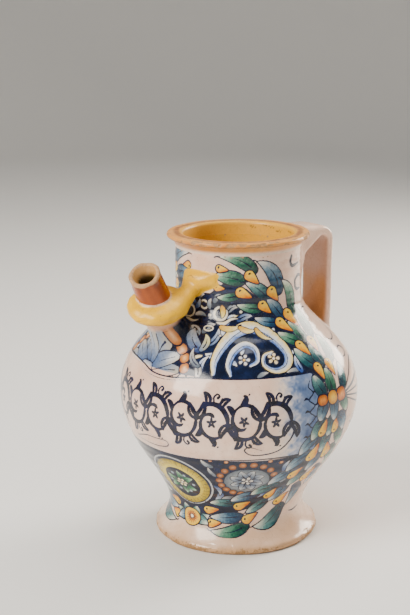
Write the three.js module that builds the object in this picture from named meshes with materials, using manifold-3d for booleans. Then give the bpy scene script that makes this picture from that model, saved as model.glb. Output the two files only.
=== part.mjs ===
// A spouted drug jar in tin-glazed earthenware, in millimetres with +Z up.
// The origin is the middle of the foot's underside. The spout points to -Y and the handle to +Y.
// The jar is thrown as foot, belly, neck and rolled lip. The handle, the spout, its clay collar and
// the brace from the collar to the neck are made apart and luted on.

import * as THREE from 'three';
import { mergeVertices } from 'three/addons/utils/BufferGeometryUtils.js';
import Module from 'manifold-3d';

// Foot
const FOOT_R = 57.5;
const FOOT_EDGE = 6; // height of the rounded edge
const FOOT_HEIGHT = 20; // table to waist
const FOOT_SPREAD = 4.5; // how straight the foot runs in from its edge
const WAIST_R = 47.4;

// Belly and neck, each level measured from the one under it
const LOWER_BELLY = 83.3; // waist to widest level
const UPPER_BELLY = 68; // widest level to the neck
const BELLY_R = 83.3;
const WAIST_SWEEP = 22.2; // how far the waist stays upright before it swells
const LOWER_SWEEP = 36.4;
const UPPER_SWEEP = 37.4;
const NECK_SWEEP = 18.1;
const NECK_R = 43.4;
const NECK_HEIGHT = 33.7; // shoulder to the seam under the lip
const WALL = 5.2;
const FLOOR = 8; // clay under the hollow
const FLOOR_ROUND = 12; // where the wall turns into the floor

// Rolled lip
const LIP_RISE = 9.3; // seam to the top of the lip
const LIP_HEIGHT = 3.4; // height of the roll
const LIP_FLARE = 1.6; // how far the lip's underside still falls on its way in
const LIP_R = 49.2;
const LIP_INNER_ROUND = 2.4;

// Spout
const SPOUT_STANDOFF = 15.6; // neck to the spot where the spout's axis leaves the shoulder
const SPOUT_LEAN = 24; // degrees from upright
const SPOUT_LENGTH = 50.6;
const SPOUT_MOUTH_R = 10;
const SPOUT_TAPER = 0.056; // growth of the radius for each millimetre down from the mouth
const SPOUT_ROOT_FLARE = 7; // growth of the radius where the clay is smoothed on to the shoulder
const SPOUT_FLARE_LENGTH = 19;
const SPOUT_BORE_R = 6.3;
const MOUTH_TURN = 17; // degrees that the mouth's cut leans to +X
const MOUTH_DIP = 8; // degrees that it leans forward

// Collar and brace
const COLLAR_DROP = 24.9; // mouth to the middle of the collar
const COLLAR_HEIGHT = 12;
const COLLAR_DEPTH = 9.1; // how far the roll stands out of the spout
const COLLAR_TIP = 15; // degrees that the roll tips out of square with the spout
const COLLAR_LOW_SIDE = 26; // degrees behind +X of the side that it tips down to
const BRACE_START = 38; // degrees that the brace leaves the collar behind +X
const BRACE_TURN = 5; // degrees round the neck from the spout
const BRACE_RISE = -1; // how far the brace climbs over the slope of the spout's own square
const BRACE_WIDTH = 14;
const BRACE_THICKNESS = 9.5;
const BRACE_END_WIDTH = 13;
const BRACE_END_THICKNESS = 9.5;
const TONGUE_TURN = 12.5; // degrees round the neck to the middle of the brace's flattened end
const TONGUE_RISE = 2; // brace's middle to the tongue's
const TONGUE_WIDTH = 26;
const TONGUE_HEIGHT = 12.6; // at its middle
const TONGUE_TAPER = 0.16; // how fast its lower edge rises towards the tip, and half its height falls
const TONGUE_HEEL = 6.5; // middle to where the taper starts, on the collar's side
const TONGUE_STAND = 4.4; // how far it stands out of the neck

// Handle
const HANDLE_ROOM = 28.9; // neck to the strap's inner face
const HANDLE_THICKNESS = 6.3;
const HANDLE_WIDTH = 28;
const HANDLE_EDGE = 2.2; // rounding of the strap's edges
const HANDLE_CORNER = 13;
const HANDLE_LANDING = 8; // how far inside the widest level the strap meets the shoulder
const HANDLE_ROOT = 27.5; // height of the root against the neck
const HANDLE_DROP = 1; // rim to the top of the handle
const HANDLE_FALL = 1.4; // how far the top slopes down on its way out

const CLEARANCE = 0.3; // left between a piece and the curved surface that it is cut to
const ROUND_STEPS = 56; // facets of the thrown body
const SMALL_STEPS = 26; // facets of the spout and collar

// Levels and places that follow from the sizes
const BELLY_Z = FOOT_HEIGHT + LOWER_BELLY;
const SHOULDER_Z = BELLY_Z + UPPER_BELLY;
const SEAM_Z = SHOULDER_Z + NECK_HEIGHT;
const TOP_Z = SEAM_Z + LIP_RISE;
const MARGIN = 20; // spare length on solids that only cut or are cut away

const wasm = await Module();
wasm.setup();

function degrees(angle) {
  return THREE.MathUtils.degToRad(angle);
}

function point(r, z) {
  return new THREE.Vector2(r, z);
}

function upright(from, pullFrom, to, pullTo, steps) {
  // A curve between two points of the profile that is upright at both
  const curve = new THREE.CubicBezierCurve(
    from, point(from.x, from.y + pullFrom), point(to.x, to.y - pullTo), to);
  return curve.getPoints(steps);
}

const WAIST = point(WAIST_R, FOOT_HEIGHT);
const WIDEST = point(BELLY_R, BELLY_Z);
const NECK_BASE = point(NECK_R, SHOULDER_Z);
const NECK_TOP = point(NECK_R, SEAM_Z);

function lowerBelly() {
  return upright(WAIST, WAIST_SWEEP, WIDEST, LOWER_SWEEP, 8);
}

function upperBelly(steps = 10) {
  return upright(WIDEST, UPPER_SWEEP, NECK_BASE, NECK_SWEEP, steps);
}

function footSide() {
  const path = new THREE.Path();
  const round = FOOT_EDGE / 2;
  path.absarc(FOOT_R - round, round, round, -Math.PI / 2, Math.PI / 3, false);
  path.bezierCurveTo(
    FOOT_R - round - FOOT_SPREAD / 2, FOOT_EDGE + FOOT_SPREAD / 2,
    WAIST_R, FOOT_HEIGHT - FOOT_SPREAD, WAIST_R, FOOT_HEIGHT);
  return path.getPoints(4);
}

function lipOutside() {
  const path = new THREE.Path();
  const round = LIP_HEIGHT / 2;
  path.moveTo(NECK_R, SEAM_Z);
  path.quadraticCurveTo(NECK_R, TOP_Z - LIP_HEIGHT - LIP_FLARE, LIP_R - round, TOP_Z - LIP_HEIGHT);
  path.absarc(LIP_R - round, TOP_Z - round, round, -Math.PI / 2, Math.PI / 2, false);
  return path.getPoints(3);
}

function lipInside() {
  const path = new THREE.Path();
  const inner = NECK_R - WALL;
  path.moveTo(inner + LIP_INNER_ROUND, TOP_Z);
  path.quadraticCurveTo(inner, TOP_Z, inner, TOP_Z - LIP_INNER_ROUND);
  path.lineTo(inner, SEAM_Z);
  return path.getPoints(3);
}

function withoutRepeats(points) {
  return points.filter((p, i) => i === 0 || p.distanceTo(points[i - 1]) > 1e-3);
}

function offset(points, distance) {
  // The profile moved square to itself, outwards where the distance is positive
  return points.map((p, i) => {
    const before = points[Math.max(i - 1, 0)];
    const after = points[Math.min(i + 1, points.length - 1)];
    const along = after.clone().sub(before).normalize();
    return point(p.x + along.y * distance, p.y - along.x * distance);
  });
}

function lathe(points, steps = ROUND_STEPS) {
  // Turned about Z: the outside runs upwards and the inside downwards
  return new THREE.LatheGeometry(withoutRepeats(points), steps).rotateX(Math.PI / 2);
}

function closed(points) {
  return [...points, points[0].clone()];
}

function solid(geometry) {
  const bare = geometry.clone();
  bare.deleteAttribute('normal');
  bare.deleteAttribute('uv');
  const merged = mergeVertices(bare);
  const triangles = [];
  for (let i = 0; i < merged.index.count; i += 3) {
    const corners = [0, 1, 2].map((k) => merged.index.getX(i + k));
    if (new Set(corners).size === 3) triangles.push(...corners);
  }
  return new wasm.Manifold(new wasm.Mesh({
    numProp: 3,
    vertProperties: new Float32Array(merged.attributes.position.array),
    triVerts: new Uint32Array(triangles),
  }));
}

function carve(blank, ...cutters) {
  const whole = blank.isBufferGeometry ? solid(blank) : blank;
  const shape = cutters.reduce((rest, cutter) => rest.subtract(solid(cutter)), whole);
  const mesh = shape.getMesh();
  const result = new THREE.BufferGeometry();
  result.setAttribute('position', new THREE.BufferAttribute(mesh.vertProperties, 3));
  result.setIndex(new THREE.BufferAttribute(mesh.triVerts, 1));
  result.computeVertexNormals();
  return result;
}

function filledJar(clearance) {
  // The jar as one solid lump, grown by the clearance, for cutting what is luted on to it
  const side = withoutRepeats([
    ...footSide(), ...lowerBelly(), ...upperBelly(), NECK_TOP, ...lipOutside()]);
  const grown = offset(side, clearance);
  return lathe([point(0, grown[0].y), ...grown, point(0, grown.at(-1).y)]);
}

function foot() {
  return lathe([point(0, 0), ...footSide(), point(0, FOOT_HEIGHT)]);
}

function hollow() {
  // The inside of the belly, from the neck down to the axis
  const floor = FOOT_HEIGHT + FLOOR;
  const wall = offset([...lowerBelly(), ...upperBelly().slice(1)], -WALL)
    .filter((p) => p.y > floor + FLOOR_ROUND && p.y < SHOULDER_Z - CLEARANCE);
  const turn = new THREE.QuadraticBezierCurve(
    wall[0], point(wall[0].x - FLOOR_ROUND / 4, floor), point(wall[0].x - FLOOR_ROUND, floor));
  return [
    point(NECK_R - WALL, SHOULDER_Z), ...wall.reverse(), ...turn.getPoints(4).slice(1), point(0, floor)];
}

function belly() {
  const outside = [point(0, FOOT_HEIGHT), ...lowerBelly(), ...upperBelly()];
  return carve(lathe([...outside, ...hollow()]), onSpout(bore()));
}

function neck() {
  const inner = NECK_R - WALL;
  return lathe(closed([NECK_BASE, NECK_TOP, point(inner, SEAM_Z), point(inner, SHOULDER_Z)]));
}

function lip() {
  return lathe(closed([...lipOutside(), ...lipInside()]));
}

function spoutRoot() {
  // The point of the shoulder that the spout's axis leaves from
  const radius = NECK_R + SPOUT_STANDOFF;
  const shoulder = upperBelly(400);
  return shoulder.reduce((best, p) => (Math.abs(p.x - radius) < Math.abs(best.x - radius) ? p : best));
}

const ROOT = spoutRoot();
const LEAN = degrees(SPOUT_LEAN);
const COLLAR_AT = SPOUT_LENGTH - COLLAR_DROP; // root to collar along the spout

function onSpout(geometry) {
  // From the spout's own frame, with +Z along its axis, to the jar's
  return geometry.rotateX(LEAN).translate(0, -ROOT.x, ROOT.y);
}

function tubeRadius(along) {
  return SPOUT_MOUTH_R + SPOUT_TAPER * (SPOUT_LENGTH - along);
}

function bore() {
  // Through the mouth, the spout and the shoulder's wall into the hollow
  const length = SPOUT_LENGTH + MARGIN + 3 * WALL;
  return new THREE.CylinderGeometry(SPOUT_BORE_R, SPOUT_BORE_R, length, SMALL_STEPS)
    .rotateX(Math.PI / 2)
    .translate(0, 0, length / 2 - 3 * WALL);
}

function beyondMouth() {
  const size = 4 * SPOUT_MOUTH_R;
  const cut = new THREE.Vector3(Math.tan(degrees(MOUTH_TURN)), -Math.tan(degrees(MOUTH_DIP)), 1);
  const turn = new THREE.Quaternion().setFromUnitVectors(new THREE.Vector3(0, 0, 1), cut.normalize());
  return new THREE.BoxGeometry(size, size, size)
    .translate(0, 0, size / 2)
    .applyQuaternion(turn)
    .translate(0, 0, SPOUT_LENGTH);
}

function tube(clearance) {
  // The outside of the spout as a solid, from inside the shoulder to past its mouth
  const top = SPOUT_LENGTH + SPOUT_MOUTH_R;
  const rootR = tubeRadius(0) + SPOUT_ROOT_FLARE;
  const bend = SPOUT_FLARE_LENGTH / 2;
  const flare = new THREE.QuadraticBezierCurve(
    point(rootR, 0), point(tubeRadius(bend), bend),
    point(tubeRadius(SPOUT_FLARE_LENGTH), SPOUT_FLARE_LENGTH));
  const side = offset([
    point(rootR, -MARGIN), ...flare.getPoints(6), point(tubeRadius(top), top)], clearance);
  return onSpout(lathe([point(0, side[0].y), ...side, point(0, side.at(-1).y)], SMALL_STEPS));
}

function spout() {
  return carve(tube(0), onSpout(bore()), onSpout(beyondMouth()), filledJar(CLEARANCE));
}

function tipped(flat) {
  // A place or a shape of the collar's own plane, tipped and moved up the spout's own frame
  const side = degrees(COLLAR_LOW_SIDE);
  const hinge = new THREE.Vector3(-Math.sin(side), Math.cos(side), 0);
  return flat.applyMatrix4(new THREE.Matrix4()
    .makeRotationAxis(hinge, degrees(COLLAR_TIP))
    .setPosition(0, 0, COLLAR_AT));
}

function roll(clearance) {
  // The clay collar as a solid, without the hole that the spout makes in it
  const path = new THREE.Path();
  path.absellipse(
    tubeRadius(COLLAR_AT), 0, COLLAR_DEPTH + clearance, COLLAR_HEIGHT / 2 + clearance,
    -Math.PI / 2, Math.PI / 2, false, 0);
  const side = path.getPoints(8);
  const shape = lathe([point(0, side[0].y), ...side, point(0, side.at(-1).y)], SMALL_STEPS);
  return onSpout(tipped(shape));
}

function collar() {
  return carve(roll(0), tube(CLEARANCE));
}

function collarPoint(radius, behind) {
  // A point in the collar's own plane, given by its distance from the spout's axis and its angle
  const flat = new THREE.Vector3(radius * Math.cos(behind), radius * Math.sin(behind), 0);
  return tipped(flat).applyAxisAngle(new THREE.Vector3(1, 0, 0), LEAN).add(new THREE.Vector3(0, -ROOT.x, ROOT.y));
}

function tongue(level) {
  // The brace's end, pressed flat and bent round the neck: a squared lens, half of it inside the wall, with a level top edge
  const lens = new THREE.SphereGeometry(1, 20, 14).rotateX(Math.PI / 2);
  const places = lens.attributes.position;
  const squared = (share) => Math.sign(share) * Math.abs(share) ** 0.8;
  for (let i = 0; i < places.count; i += 1) {
    const along = (squared(places.getX(i)) * TONGUE_WIDTH) / 2;
    const narrowed = Math.max(along, -TONGUE_HEEL) * TONGUE_TAPER;
    const turn = degrees(TONGUE_TURN) + along / NECK_R;
    const radius = NECK_R + places.getZ(i) * TONGUE_STAND;
    places.setXYZ(i, radius * Math.sin(turn), -radius * Math.cos(turn),
      level + narrowed + squared(places.getY(i)) * (TONGUE_HEIGHT / 2 - narrowed));
  }
  return lens;
}

function brace() {
  // A roll that leaves the collar and ends in a tongue on the neck
  const middle = collarPoint(0, 0);
  const start = collarPoint(tubeRadius(COLLAR_AT) + COLLAR_DEPTH / 3, degrees(BRACE_START));
  const x = (NECK_R - WALL / 2) * Math.sin(degrees(BRACE_TURN));
  const y = -(NECK_R - WALL / 2) * Math.cos(degrees(BRACE_TURN));
  const end = new THREE.Vector3(x, y, middle.z + (y - middle.y) * Math.tan(LEAN) + BRACE_RISE);
  const across = end.clone().sub(start).cross(new THREE.Vector3(0, 0, 1)).normalize();
  const square = across.clone().cross(end.clone().sub(start)).normalize();
  const lerp = THREE.MathUtils.lerp;
  const strap = new THREE.CylinderGeometry(1, 1, 1, 24, 8);
  const places = strap.attributes.position;
  for (let i = 0; i < places.count; i += 1) {
    const along = places.getY(i) + 0.5;
    const spread = along * along;
    const width = lerp(BRACE_WIDTH, BRACE_END_WIDTH, spread) / 2;
    const thickness = lerp(BRACE_THICKNESS, BRACE_END_THICKNESS, spread) / 2;
    const place = start.clone().lerp(end, along)
      .addScaledVector(across, places.getX(i) * width)
      .addScaledVector(square, places.getZ(i) * thickness);
    places.setXYZ(i, place.x, place.y, place.z);
  }
  const whole = solid(strap).add(solid(tongue(end.z + TONGUE_RISE)));
  return carve(whole, roll(CLEARANCE), tube(CLEARANCE), filledJar(CLEARANCE));
}

function handle() {
  // The strap's side view, with the distance from the jar's axis as x, drawn out to its width
  const top = TOP_Z - HANDLE_DROP;
  const reach = NECK_R + HANDLE_ROOM + HANDLE_THICKNESS;
  const landing = BELLY_R - HANDLE_LANDING;
  const inside = NECK_R - WALL / 2;
  const innerReach = reach - HANDLE_THICKNESS;
  const under = top - HANDLE_FALL - HANDLE_THICKNESS;
  const side = new THREE.Shape();
  side.moveTo(inside, top - HANDLE_ROOT);
  side.lineTo(inside, top);
  side.lineTo(reach - HANDLE_CORNER, top - HANDLE_FALL);
  side.quadraticCurveTo(reach, top - HANDLE_FALL, reach, under - HANDLE_CORNER / 2);
  side.lineTo(landing, BELLY_Z);
  side.lineTo(landing - HANDLE_THICKNESS, BELLY_Z);
  side.lineTo(innerReach, under - HANDLE_CORNER / 2);
  side.quadraticCurveTo(innerReach, under, innerReach - HANDLE_CORNER / 2, under - HANDLE_CORNER / 8);
  const strap = new THREE.ExtrudeGeometry(side, {
    depth: HANDLE_WIDTH - 2 * HANDLE_EDGE,
    bevelSize: HANDLE_EDGE,
    bevelOffset: -HANDLE_EDGE,
    bevelThickness: HANDLE_EDGE,
    bevelSegments: 3,
    curveSegments: 7,
  });
  // The side view stands up, with its x towards +Y and its depth across the jar
  strap.translate(0, 0, HANDLE_EDGE - HANDLE_WIDTH / 2);
  strap.applyMatrix4(new THREE.Matrix4().makeBasis(
    new THREE.Vector3(0, 1, 0), new THREE.Vector3(0, 0, 1), new THREE.Vector3(1, 0, 0)));
  return carve(strap, filledJar(CLEARANCE));
}

function glaze(colour, roughness) {
  return new THREE.MeshStandardMaterial({ color: colour, roughness, metalness: 0 });
}

function piece(name, geometry, material) {
  const mesh = new THREE.Mesh(geometry, material);
  mesh.name = name;
  return mesh;
}

const jar = new THREE.Group();
jar.add(
  piece('foot', foot(), glaze('#e3cdbd', 0.32)),
  piece('belly', belly(), glaze('#e9d6c8', 0.22)),
  piece('neck', neck(), glaze('#ecdccf', 0.22)),
  piece('rolled_lip', lip(), glaze('#d49a5c', 0.4)),
  piece('strap_handle', handle(), glaze('#dcc3b4', 0.25)),
  piece('spout', spout(), glaze('#a8480f', 0.35)),
  piece('spout_collar', collar(), glaze('#efc94c', 0.28)),
  piece('collar_brace', brace(), glaze('#efc94c', 0.28)),
);

export default jar;
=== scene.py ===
"""Spouted drug jar in tin-glazed earthenware: the looks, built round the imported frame."""
import math

import bpy
import numpy as np
from mathutils import Matrix, Vector


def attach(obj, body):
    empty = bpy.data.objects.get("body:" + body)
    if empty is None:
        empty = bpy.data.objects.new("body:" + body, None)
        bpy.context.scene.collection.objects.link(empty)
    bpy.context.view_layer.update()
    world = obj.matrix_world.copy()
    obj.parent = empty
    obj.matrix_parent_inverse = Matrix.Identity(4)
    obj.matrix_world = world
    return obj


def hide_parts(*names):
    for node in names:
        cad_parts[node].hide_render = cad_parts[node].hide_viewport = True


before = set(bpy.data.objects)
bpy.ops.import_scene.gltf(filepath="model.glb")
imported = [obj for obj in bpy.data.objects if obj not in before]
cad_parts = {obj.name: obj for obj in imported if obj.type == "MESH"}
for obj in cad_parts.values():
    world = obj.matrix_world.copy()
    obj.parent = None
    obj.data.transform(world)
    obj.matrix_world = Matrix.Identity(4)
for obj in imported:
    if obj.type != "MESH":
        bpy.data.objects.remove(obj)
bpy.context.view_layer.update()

MM = 0.001

# The jar's sizes in millimetres, as in the part's source
FOOT_R, FOOT_EDGE, FOOT_SPREAD, FOOT_HEIGHT = 57.5, 6.0, 4.5, 20.0
WAIST_R, BELLY_R, NECK_R = 47.4, 83.3, 43.4
BELLY_Z, SHOULDER_Z, SEAM_Z, TOP_Z = 103.3, 171.3, 205.0, 214.3
WAIST_SWEEP, LOWER_SWEEP, UPPER_SWEEP, NECK_SWEEP = 22.2, 36.4, 37.4, 18.1
WALL, FLOOR = 5.2, 8.0
LIP_R, LIP_HEIGHT, LIP_FLARE, LIP_INNER_ROUND = 49.2, 3.4, 1.6, 2.4
SPOUT_ROOT = np.array([0.0, -59.0, 149.0])
SPOUT_LEAN = math.radians(24)
SPOUT_LENGTH, SPOUT_MOUTH_R, SPOUT_TAPER, SPOUT_BORE_R = 50.6, 10.0, 0.056, 6.3
MOUTH_TURN, MOUTH_DIP = math.radians(17), math.radians(8)
COLLAR_AT, COLLAR_DEPTH, COLLAR_HEIGHT = 25.7, 9.1, 12.0
COLLAR_TIP, COLLAR_LOW_SIDE = math.radians(15), math.radians(26)
BRACE_START, BRACE_TURN, BRACE_RISE = math.radians(38), math.radians(5), -1.0
BRACE_WIDTHS, BRACE_THICKNESSES = (14.0, 13.0), (9.5, 9.5)
TONGUE_TURN, TONGUE_RISE = math.radians(12.5), 2.0
TONGUE_WIDTH, TONGUE_HEIGHT, TONGUE_STAND = 26.0, 12.6, 4.4
TONGUE_TAPER, TONGUE_HEEL = 0.16, 6.5
HANDLE_WIDTH, HANDLE_THICKNESS, HANDLE_CORNER, HANDLE_REACH = 28.0, 6.3, 13.0, 78.6
HANDLE_TOP, HANDLE_FALL, HANDLE_ROOT, HANDLE_LANDING = 213.3, 1.4, 27.5, 75.3

MOUTH_R, FLOOR_Z = NECK_R - WALL, FOOT_HEIGHT + FLOOR


# Small helpers

def linear(code):
    """An sRGB hex colour as linear red, green and blue."""
    parts = np.array([int(code[i:i + 2], 16) for i in (1, 3, 5)]) / 255
    return np.where(parts <= 0.04045, parts / 12.92, ((parts + 0.055) / 1.055) ** 2.4)


def shade(code):
    """The same colour with an alpha of 1, for a shader's socket."""
    return (*linear(code), 1.0)


def node(tree, kind, inputs=None, **settings):
    """Adds a node with its settings made, its values set and its links drawn, and gives its outputs."""
    made = tree.nodes.new(kind)
    for name, value in settings.items():
        setattr(made, name, value)
    for name, value in (inputs or {}).items():
        if isinstance(value, bpy.types.NodeSocket):
            tree.links.new(value, made.inputs[name])
        else:
            made.inputs[name].default_value = value
    return made.outputs


def smooth(low, high, value):
    """0 below low, 1 above high and an even S between."""
    t = np.clip((value - low) / (high - low), 0, 1)
    return t * t * (3 - 2 * t)


def bezier(corners, count):
    """Points along the curve with these control points."""
    t = np.linspace(0, 1, count + 1)[:, None]
    points = [np.array(c, float) + 0 * t for c in corners]
    while len(points) > 1:
        points = [a * (1 - t) + b * t for a, b in zip(points, points[1:])]
    return points[0]


def arc(centre, radius, start, end, count):
    """Points along part of a circle, from one angle to another in degrees."""
    angles = np.radians(np.linspace(start, end, count + 1))
    return np.stack([centre[0] + radius * np.cos(angles), centre[1] + radius * np.sin(angles)], 1)


def joined(*runs):
    """Runs of points one after the other, without repeats."""
    points = np.concatenate(runs)
    keep = np.ones(len(points), bool)
    keep[1:] = np.hypot(*np.diff(points, axis=0).T) > 1e-4
    return points[keep]


def lengths(points):
    """The distance run along a line at each of its points."""
    return np.concatenate([[0], np.cumsum(np.hypot(*np.diff(points, axis=0).T))])


def evened(points, step):
    """The same line with points a fixed distance apart."""
    run = lengths(points)
    at = np.linspace(0, run[-1], max(int(round(run[-1] / step)), 1) + 1)
    return np.stack([np.interp(at, run, points[:, i]) for i in (0, 1)], 1)


def between(points, low, high):
    """The part of an upward line from one level to another, with both ends cut clean."""
    ends = [[np.interp(z, points[:, 1], points[:, 0]), z] for z in (low, high)]
    inside = points[(points[:, 1] > low + 1e-3) & (points[:, 1] < high - 1e-3)]
    return np.array([ends[0], *inside, ends[1]])


# The jar's outline, from the edge of the foot up to the rim

EDGE = FOOT_EDGE / 2
LIP_ROUND = LIP_HEIGHT / 2
FOOT_SIDE = joined(
    arc((FOOT_R - EDGE, EDGE), EDGE, -90, 60, 24),
    bezier([(FOOT_R - EDGE / 2, EDGE * (1 + math.sin(math.pi / 3))),
            (FOOT_R - EDGE - FOOT_SPREAD / 2, FOOT_EDGE + FOOT_SPREAD / 2),
            (WAIST_R, FOOT_HEIGHT - FOOT_SPREAD), (WAIST_R, FOOT_HEIGHT)], 48))
BELLY_SIDE = joined(
    bezier([(WAIST_R, FOOT_HEIGHT), (WAIST_R, FOOT_HEIGHT + WAIST_SWEEP),
            (BELLY_R, BELLY_Z - LOWER_SWEEP), (BELLY_R, BELLY_Z)], 160),
    bezier([(BELLY_R, BELLY_Z), (BELLY_R, BELLY_Z + UPPER_SWEEP),
            (NECK_R, SHOULDER_Z - NECK_SWEEP), (NECK_R, SHOULDER_Z)], 160))
NECK_SIDE = np.array([[NECK_R, z] for z in np.linspace(SHOULDER_Z, SEAM_Z, 40)])
LIP_SIDE = joined(
    bezier([(NECK_R, SEAM_Z), (NECK_R, TOP_Z - LIP_HEIGHT - LIP_FLARE),
            (LIP_R - LIP_ROUND, TOP_Z - LIP_HEIGHT)], 16),
    arc((LIP_R - LIP_ROUND, TOP_Z - LIP_ROUND), LIP_ROUND, -90, 90, 32))
OUTLINE = joined(FOOT_SIDE, BELLY_SIDE, NECK_SIDE, LIP_SIDE)
FLOOR_ROUND, FLOOR_PULL = 12.0, 3.0  # the round between floor and wall, and how tightly it turns


def turned_in(points, distance):
    """A wall's inner side: the line moved square to itself, towards the axis."""
    way = np.gradient(points, axis=0)
    way /= np.hypot(*way.T)[:, None]
    return points + distance * np.stack([-way[:, 1], way[:, 0]], 1)


INSIDE = turned_in(BELLY_SIDE, WALL)
INSIDE = INSIDE[(INSIDE[:, 1] > FLOOR_Z + FLOOR_ROUND) & (INSIDE[:, 1] < SHOULDER_Z - 0.3)]
FLOOR_TURN = bezier([(INSIDE[0, 0] - FLOOR_ROUND, FLOOR_Z), (INSIDE[0, 0] - FLOOR_PULL, FLOOR_Z),
                     INSIDE[0]], 12)


def radius_at(z):
    """The jar's outer radius at a height."""
    return np.interp(z, OUTLINE[:, 1], OUTLINE[:, 0])


def polar(p):
    """Points' distance from the jar's axis, and how far round from the spout they are."""
    return np.hypot(p[..., 0], p[..., 1]), np.arctan2(p[..., 0], -p[..., 1])


# Distances from the jar's outside, looked up in a table of radius and height

CELL = 0.4
TABLE_R = np.arange(0, 100, CELL)
TABLE_Z = np.arange(-6, 226, CELL)
BATCH = 8000  # places worked out at once, so that memory is spared


def outline_table():
    """How far each place of the table is from the outline, and the height of the outline's nearest point.

    The distance is less than 0 inside.
    """
    shut = joined([[0.0, 0.0]], evened(np.array([[0, 0], [FOOT_R - EDGE, 0]], float), 1), OUTLINE,
                  evened(np.array([[LIP_R - LIP_ROUND, TOP_Z], [0, TOP_Z]], float), 1))
    r, z = np.meshgrid(TABLE_R, TABLE_Z, indexing="ij")
    spot = np.stack([r.ravel(), z.ravel()], 1)
    far = np.empty(len(spot))
    level = np.empty(len(spot))
    start, step = shut[:-1], np.diff(shut, axis=0)
    size = (step ** 2).sum(1)
    for first in range(0, len(spot), BATCH):
        some = spot[first:first + BATCH, None]
        t = np.clip(((some - start) * step).sum(2) / size, 0, 1)
        gap = np.hypot(*(start + t[..., None] * step - some).transpose(2, 0, 1))
        best = gap.argmin(1)
        rows = np.arange(len(best))
        far[first:first + BATCH] = gap[rows, best]
        level[first:first + BATCH] = start[best, 1] + t[rows, best] * step[best, 1]
    inside = (spot[:, 1] > 0) & (spot[:, 1] < TOP_Z) & (spot[:, 0] < radius_at(spot[:, 1]))
    return np.where(inside, -far, far).reshape(r.shape), level.reshape(r.shape)


FAR_TABLE, LEVEL_TABLE = outline_table()


def looked_up(table, r, z):
    """A value of the table, in straight lines between its places."""
    a = np.clip((r - TABLE_R[0]) / CELL, 0, len(TABLE_R) - 1.001)
    b = np.clip((z - TABLE_Z[0]) / CELL, 0, len(TABLE_Z) - 1.001)
    i, j = a.astype(int), b.astype(int)
    a, b = a - i, b - j
    return ((table[i, j] * (1 - a) + table[i + 1, j] * a) * (1 - b)
            + (table[i, j + 1] * (1 - a) + table[i + 1, j + 1] * a) * b)


def from_jar(p):
    """Distance of points from the jar's outside, in millimetres."""
    return looked_up(FAR_TABLE, np.hypot(p[..., 0], p[..., 1]), p[..., 2])


# Clay shapes as distances, and the skin that is drawn on them

SLABS = 12      # a skin's grid is worked out in this many parts, so that memory is spared
RELAXINGS = 2   # how often a skin's points are evened out
SETTLINGS = 3   # steps that pull them on to the shape each time


def fused(a, b, reach):
    """Two lumps run together with a fillet."""
    h = np.maximum(reach - np.abs(a - b), 0) / reach
    return np.minimum(a, b) - h * h * reach / 4


def cut(a, b, reach):
    """What is inside both, with the edge rounded."""
    return -fused(-a, -b, reach)


def from_oval(near, *ways):
    """Distance from an oval lump: from how near its middle is, and (offset, half size) in each way."""
    steep = np.sqrt(sum((off / size ** 2) ** 2 for off, size in ways))
    return near * (near - 1) / np.maximum(steep, 1e-6)


def skin(shape, low, high, step):
    """A closed mesh on the surface where the shape's distance is nought.

    There is one point in each cell that the surface crosses, and it is pulled on to the surface.
    """
    axes = [np.arange(a, b + step, step) for a, b in zip(low, high)]
    grid = np.stack(np.meshgrid(*axes, indexing="ij"), -1)
    value = np.concatenate([shape(slab) for slab in np.array_split(grid, SLABS)])
    # The grid's own border counts as outside, so that the mesh closes
    for axis in range(3):
        edge = np.moveaxis(value, axis, 0)
        edge[[0, -1]] = np.maximum(edge[[0, -1]], step / 10)
    cells = tuple(n - 1 for n in value.shape)
    total, count = np.zeros(cells + (3,)), np.zeros(cells)
    corner = {}
    for i, j, k in np.ndindex(2, 2, 2):
        corner[i, j, k] = value[i:cells[0] + i, j:cells[1] + j, k:cells[2] + k]
    for axis in range(3):
        for i, j in np.ndindex(2, 2):
            start = [i, j]
            start.insert(axis, 0)
            end = list(start)
            end[axis] = 1
            a, b = corner[tuple(start)], corner[tuple(end)]
            crossed = (a < 0) != (b < 0)
            t = np.where(crossed, a / np.where(crossed, a - b, 1), 0)
            for d in range(3):
                total[..., d] += np.where(crossed, t if d == axis else start[d], 0)
            count += crossed
    used = count > 0
    number = np.full(cells, -1)
    number[used] = np.arange(used.sum())
    points = np.stack(np.nonzero(used), 1) + total[used] / count[used][:, None]
    points = points * step + np.array(low)
    faces = []
    for axis in range(3):
        other = [d for d in range(3) if d != axis]
        take = [slice(None)] * 3
        take[axis] = slice(0, -1)
        a = value[tuple(take)]
        take[axis] = slice(1, None)
        b = value[tuple(take)]
        crossed = (a < 0) != (b < 0)
        place = np.stack(np.nonzero(crossed), 1)
        place = place[(place[:, other[0]] > 0) & (place[:, other[1]] > 0)]
        ring = []
        for i, j in ((1, 1), (0, 1), (0, 0), (1, 0)):
            cell = place.copy()
            cell[:, other[0]] -= i
            cell[:, other[1]] -= j
            ring.append(number[tuple(cell.T)])
        quads = np.stack(ring, 1)
        outward = (a[tuple(place.T)] < 0) ^ (axis == 1)
        quads[~outward] = quads[~outward][:, ::-1]
        faces.append(quads)
    faces = np.concatenate(faces)
    for turn in range(RELAXINGS + 1):
        if turn:
            middle, near = np.zeros_like(points), np.zeros(len(points))
            for a in range(4):
                for b in (a - 1, (a + 1) % 4):
                    np.add.at(middle, faces[:, a], points[faces[:, b]])
                    np.add.at(near, faces[:, a], 1)
            points = middle / near[:, None]
        for _ in range(SETTLINGS):
            points = settled(shape, points, step)
    return points, faces


def slope(shape, points):
    """The shape's gradient at points."""
    nudge = 0.05
    return np.stack([(shape(points + nudge * axis) - shape(points - nudge * axis)) / (2 * nudge)
                     for axis in np.eye(3)], 1)


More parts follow.
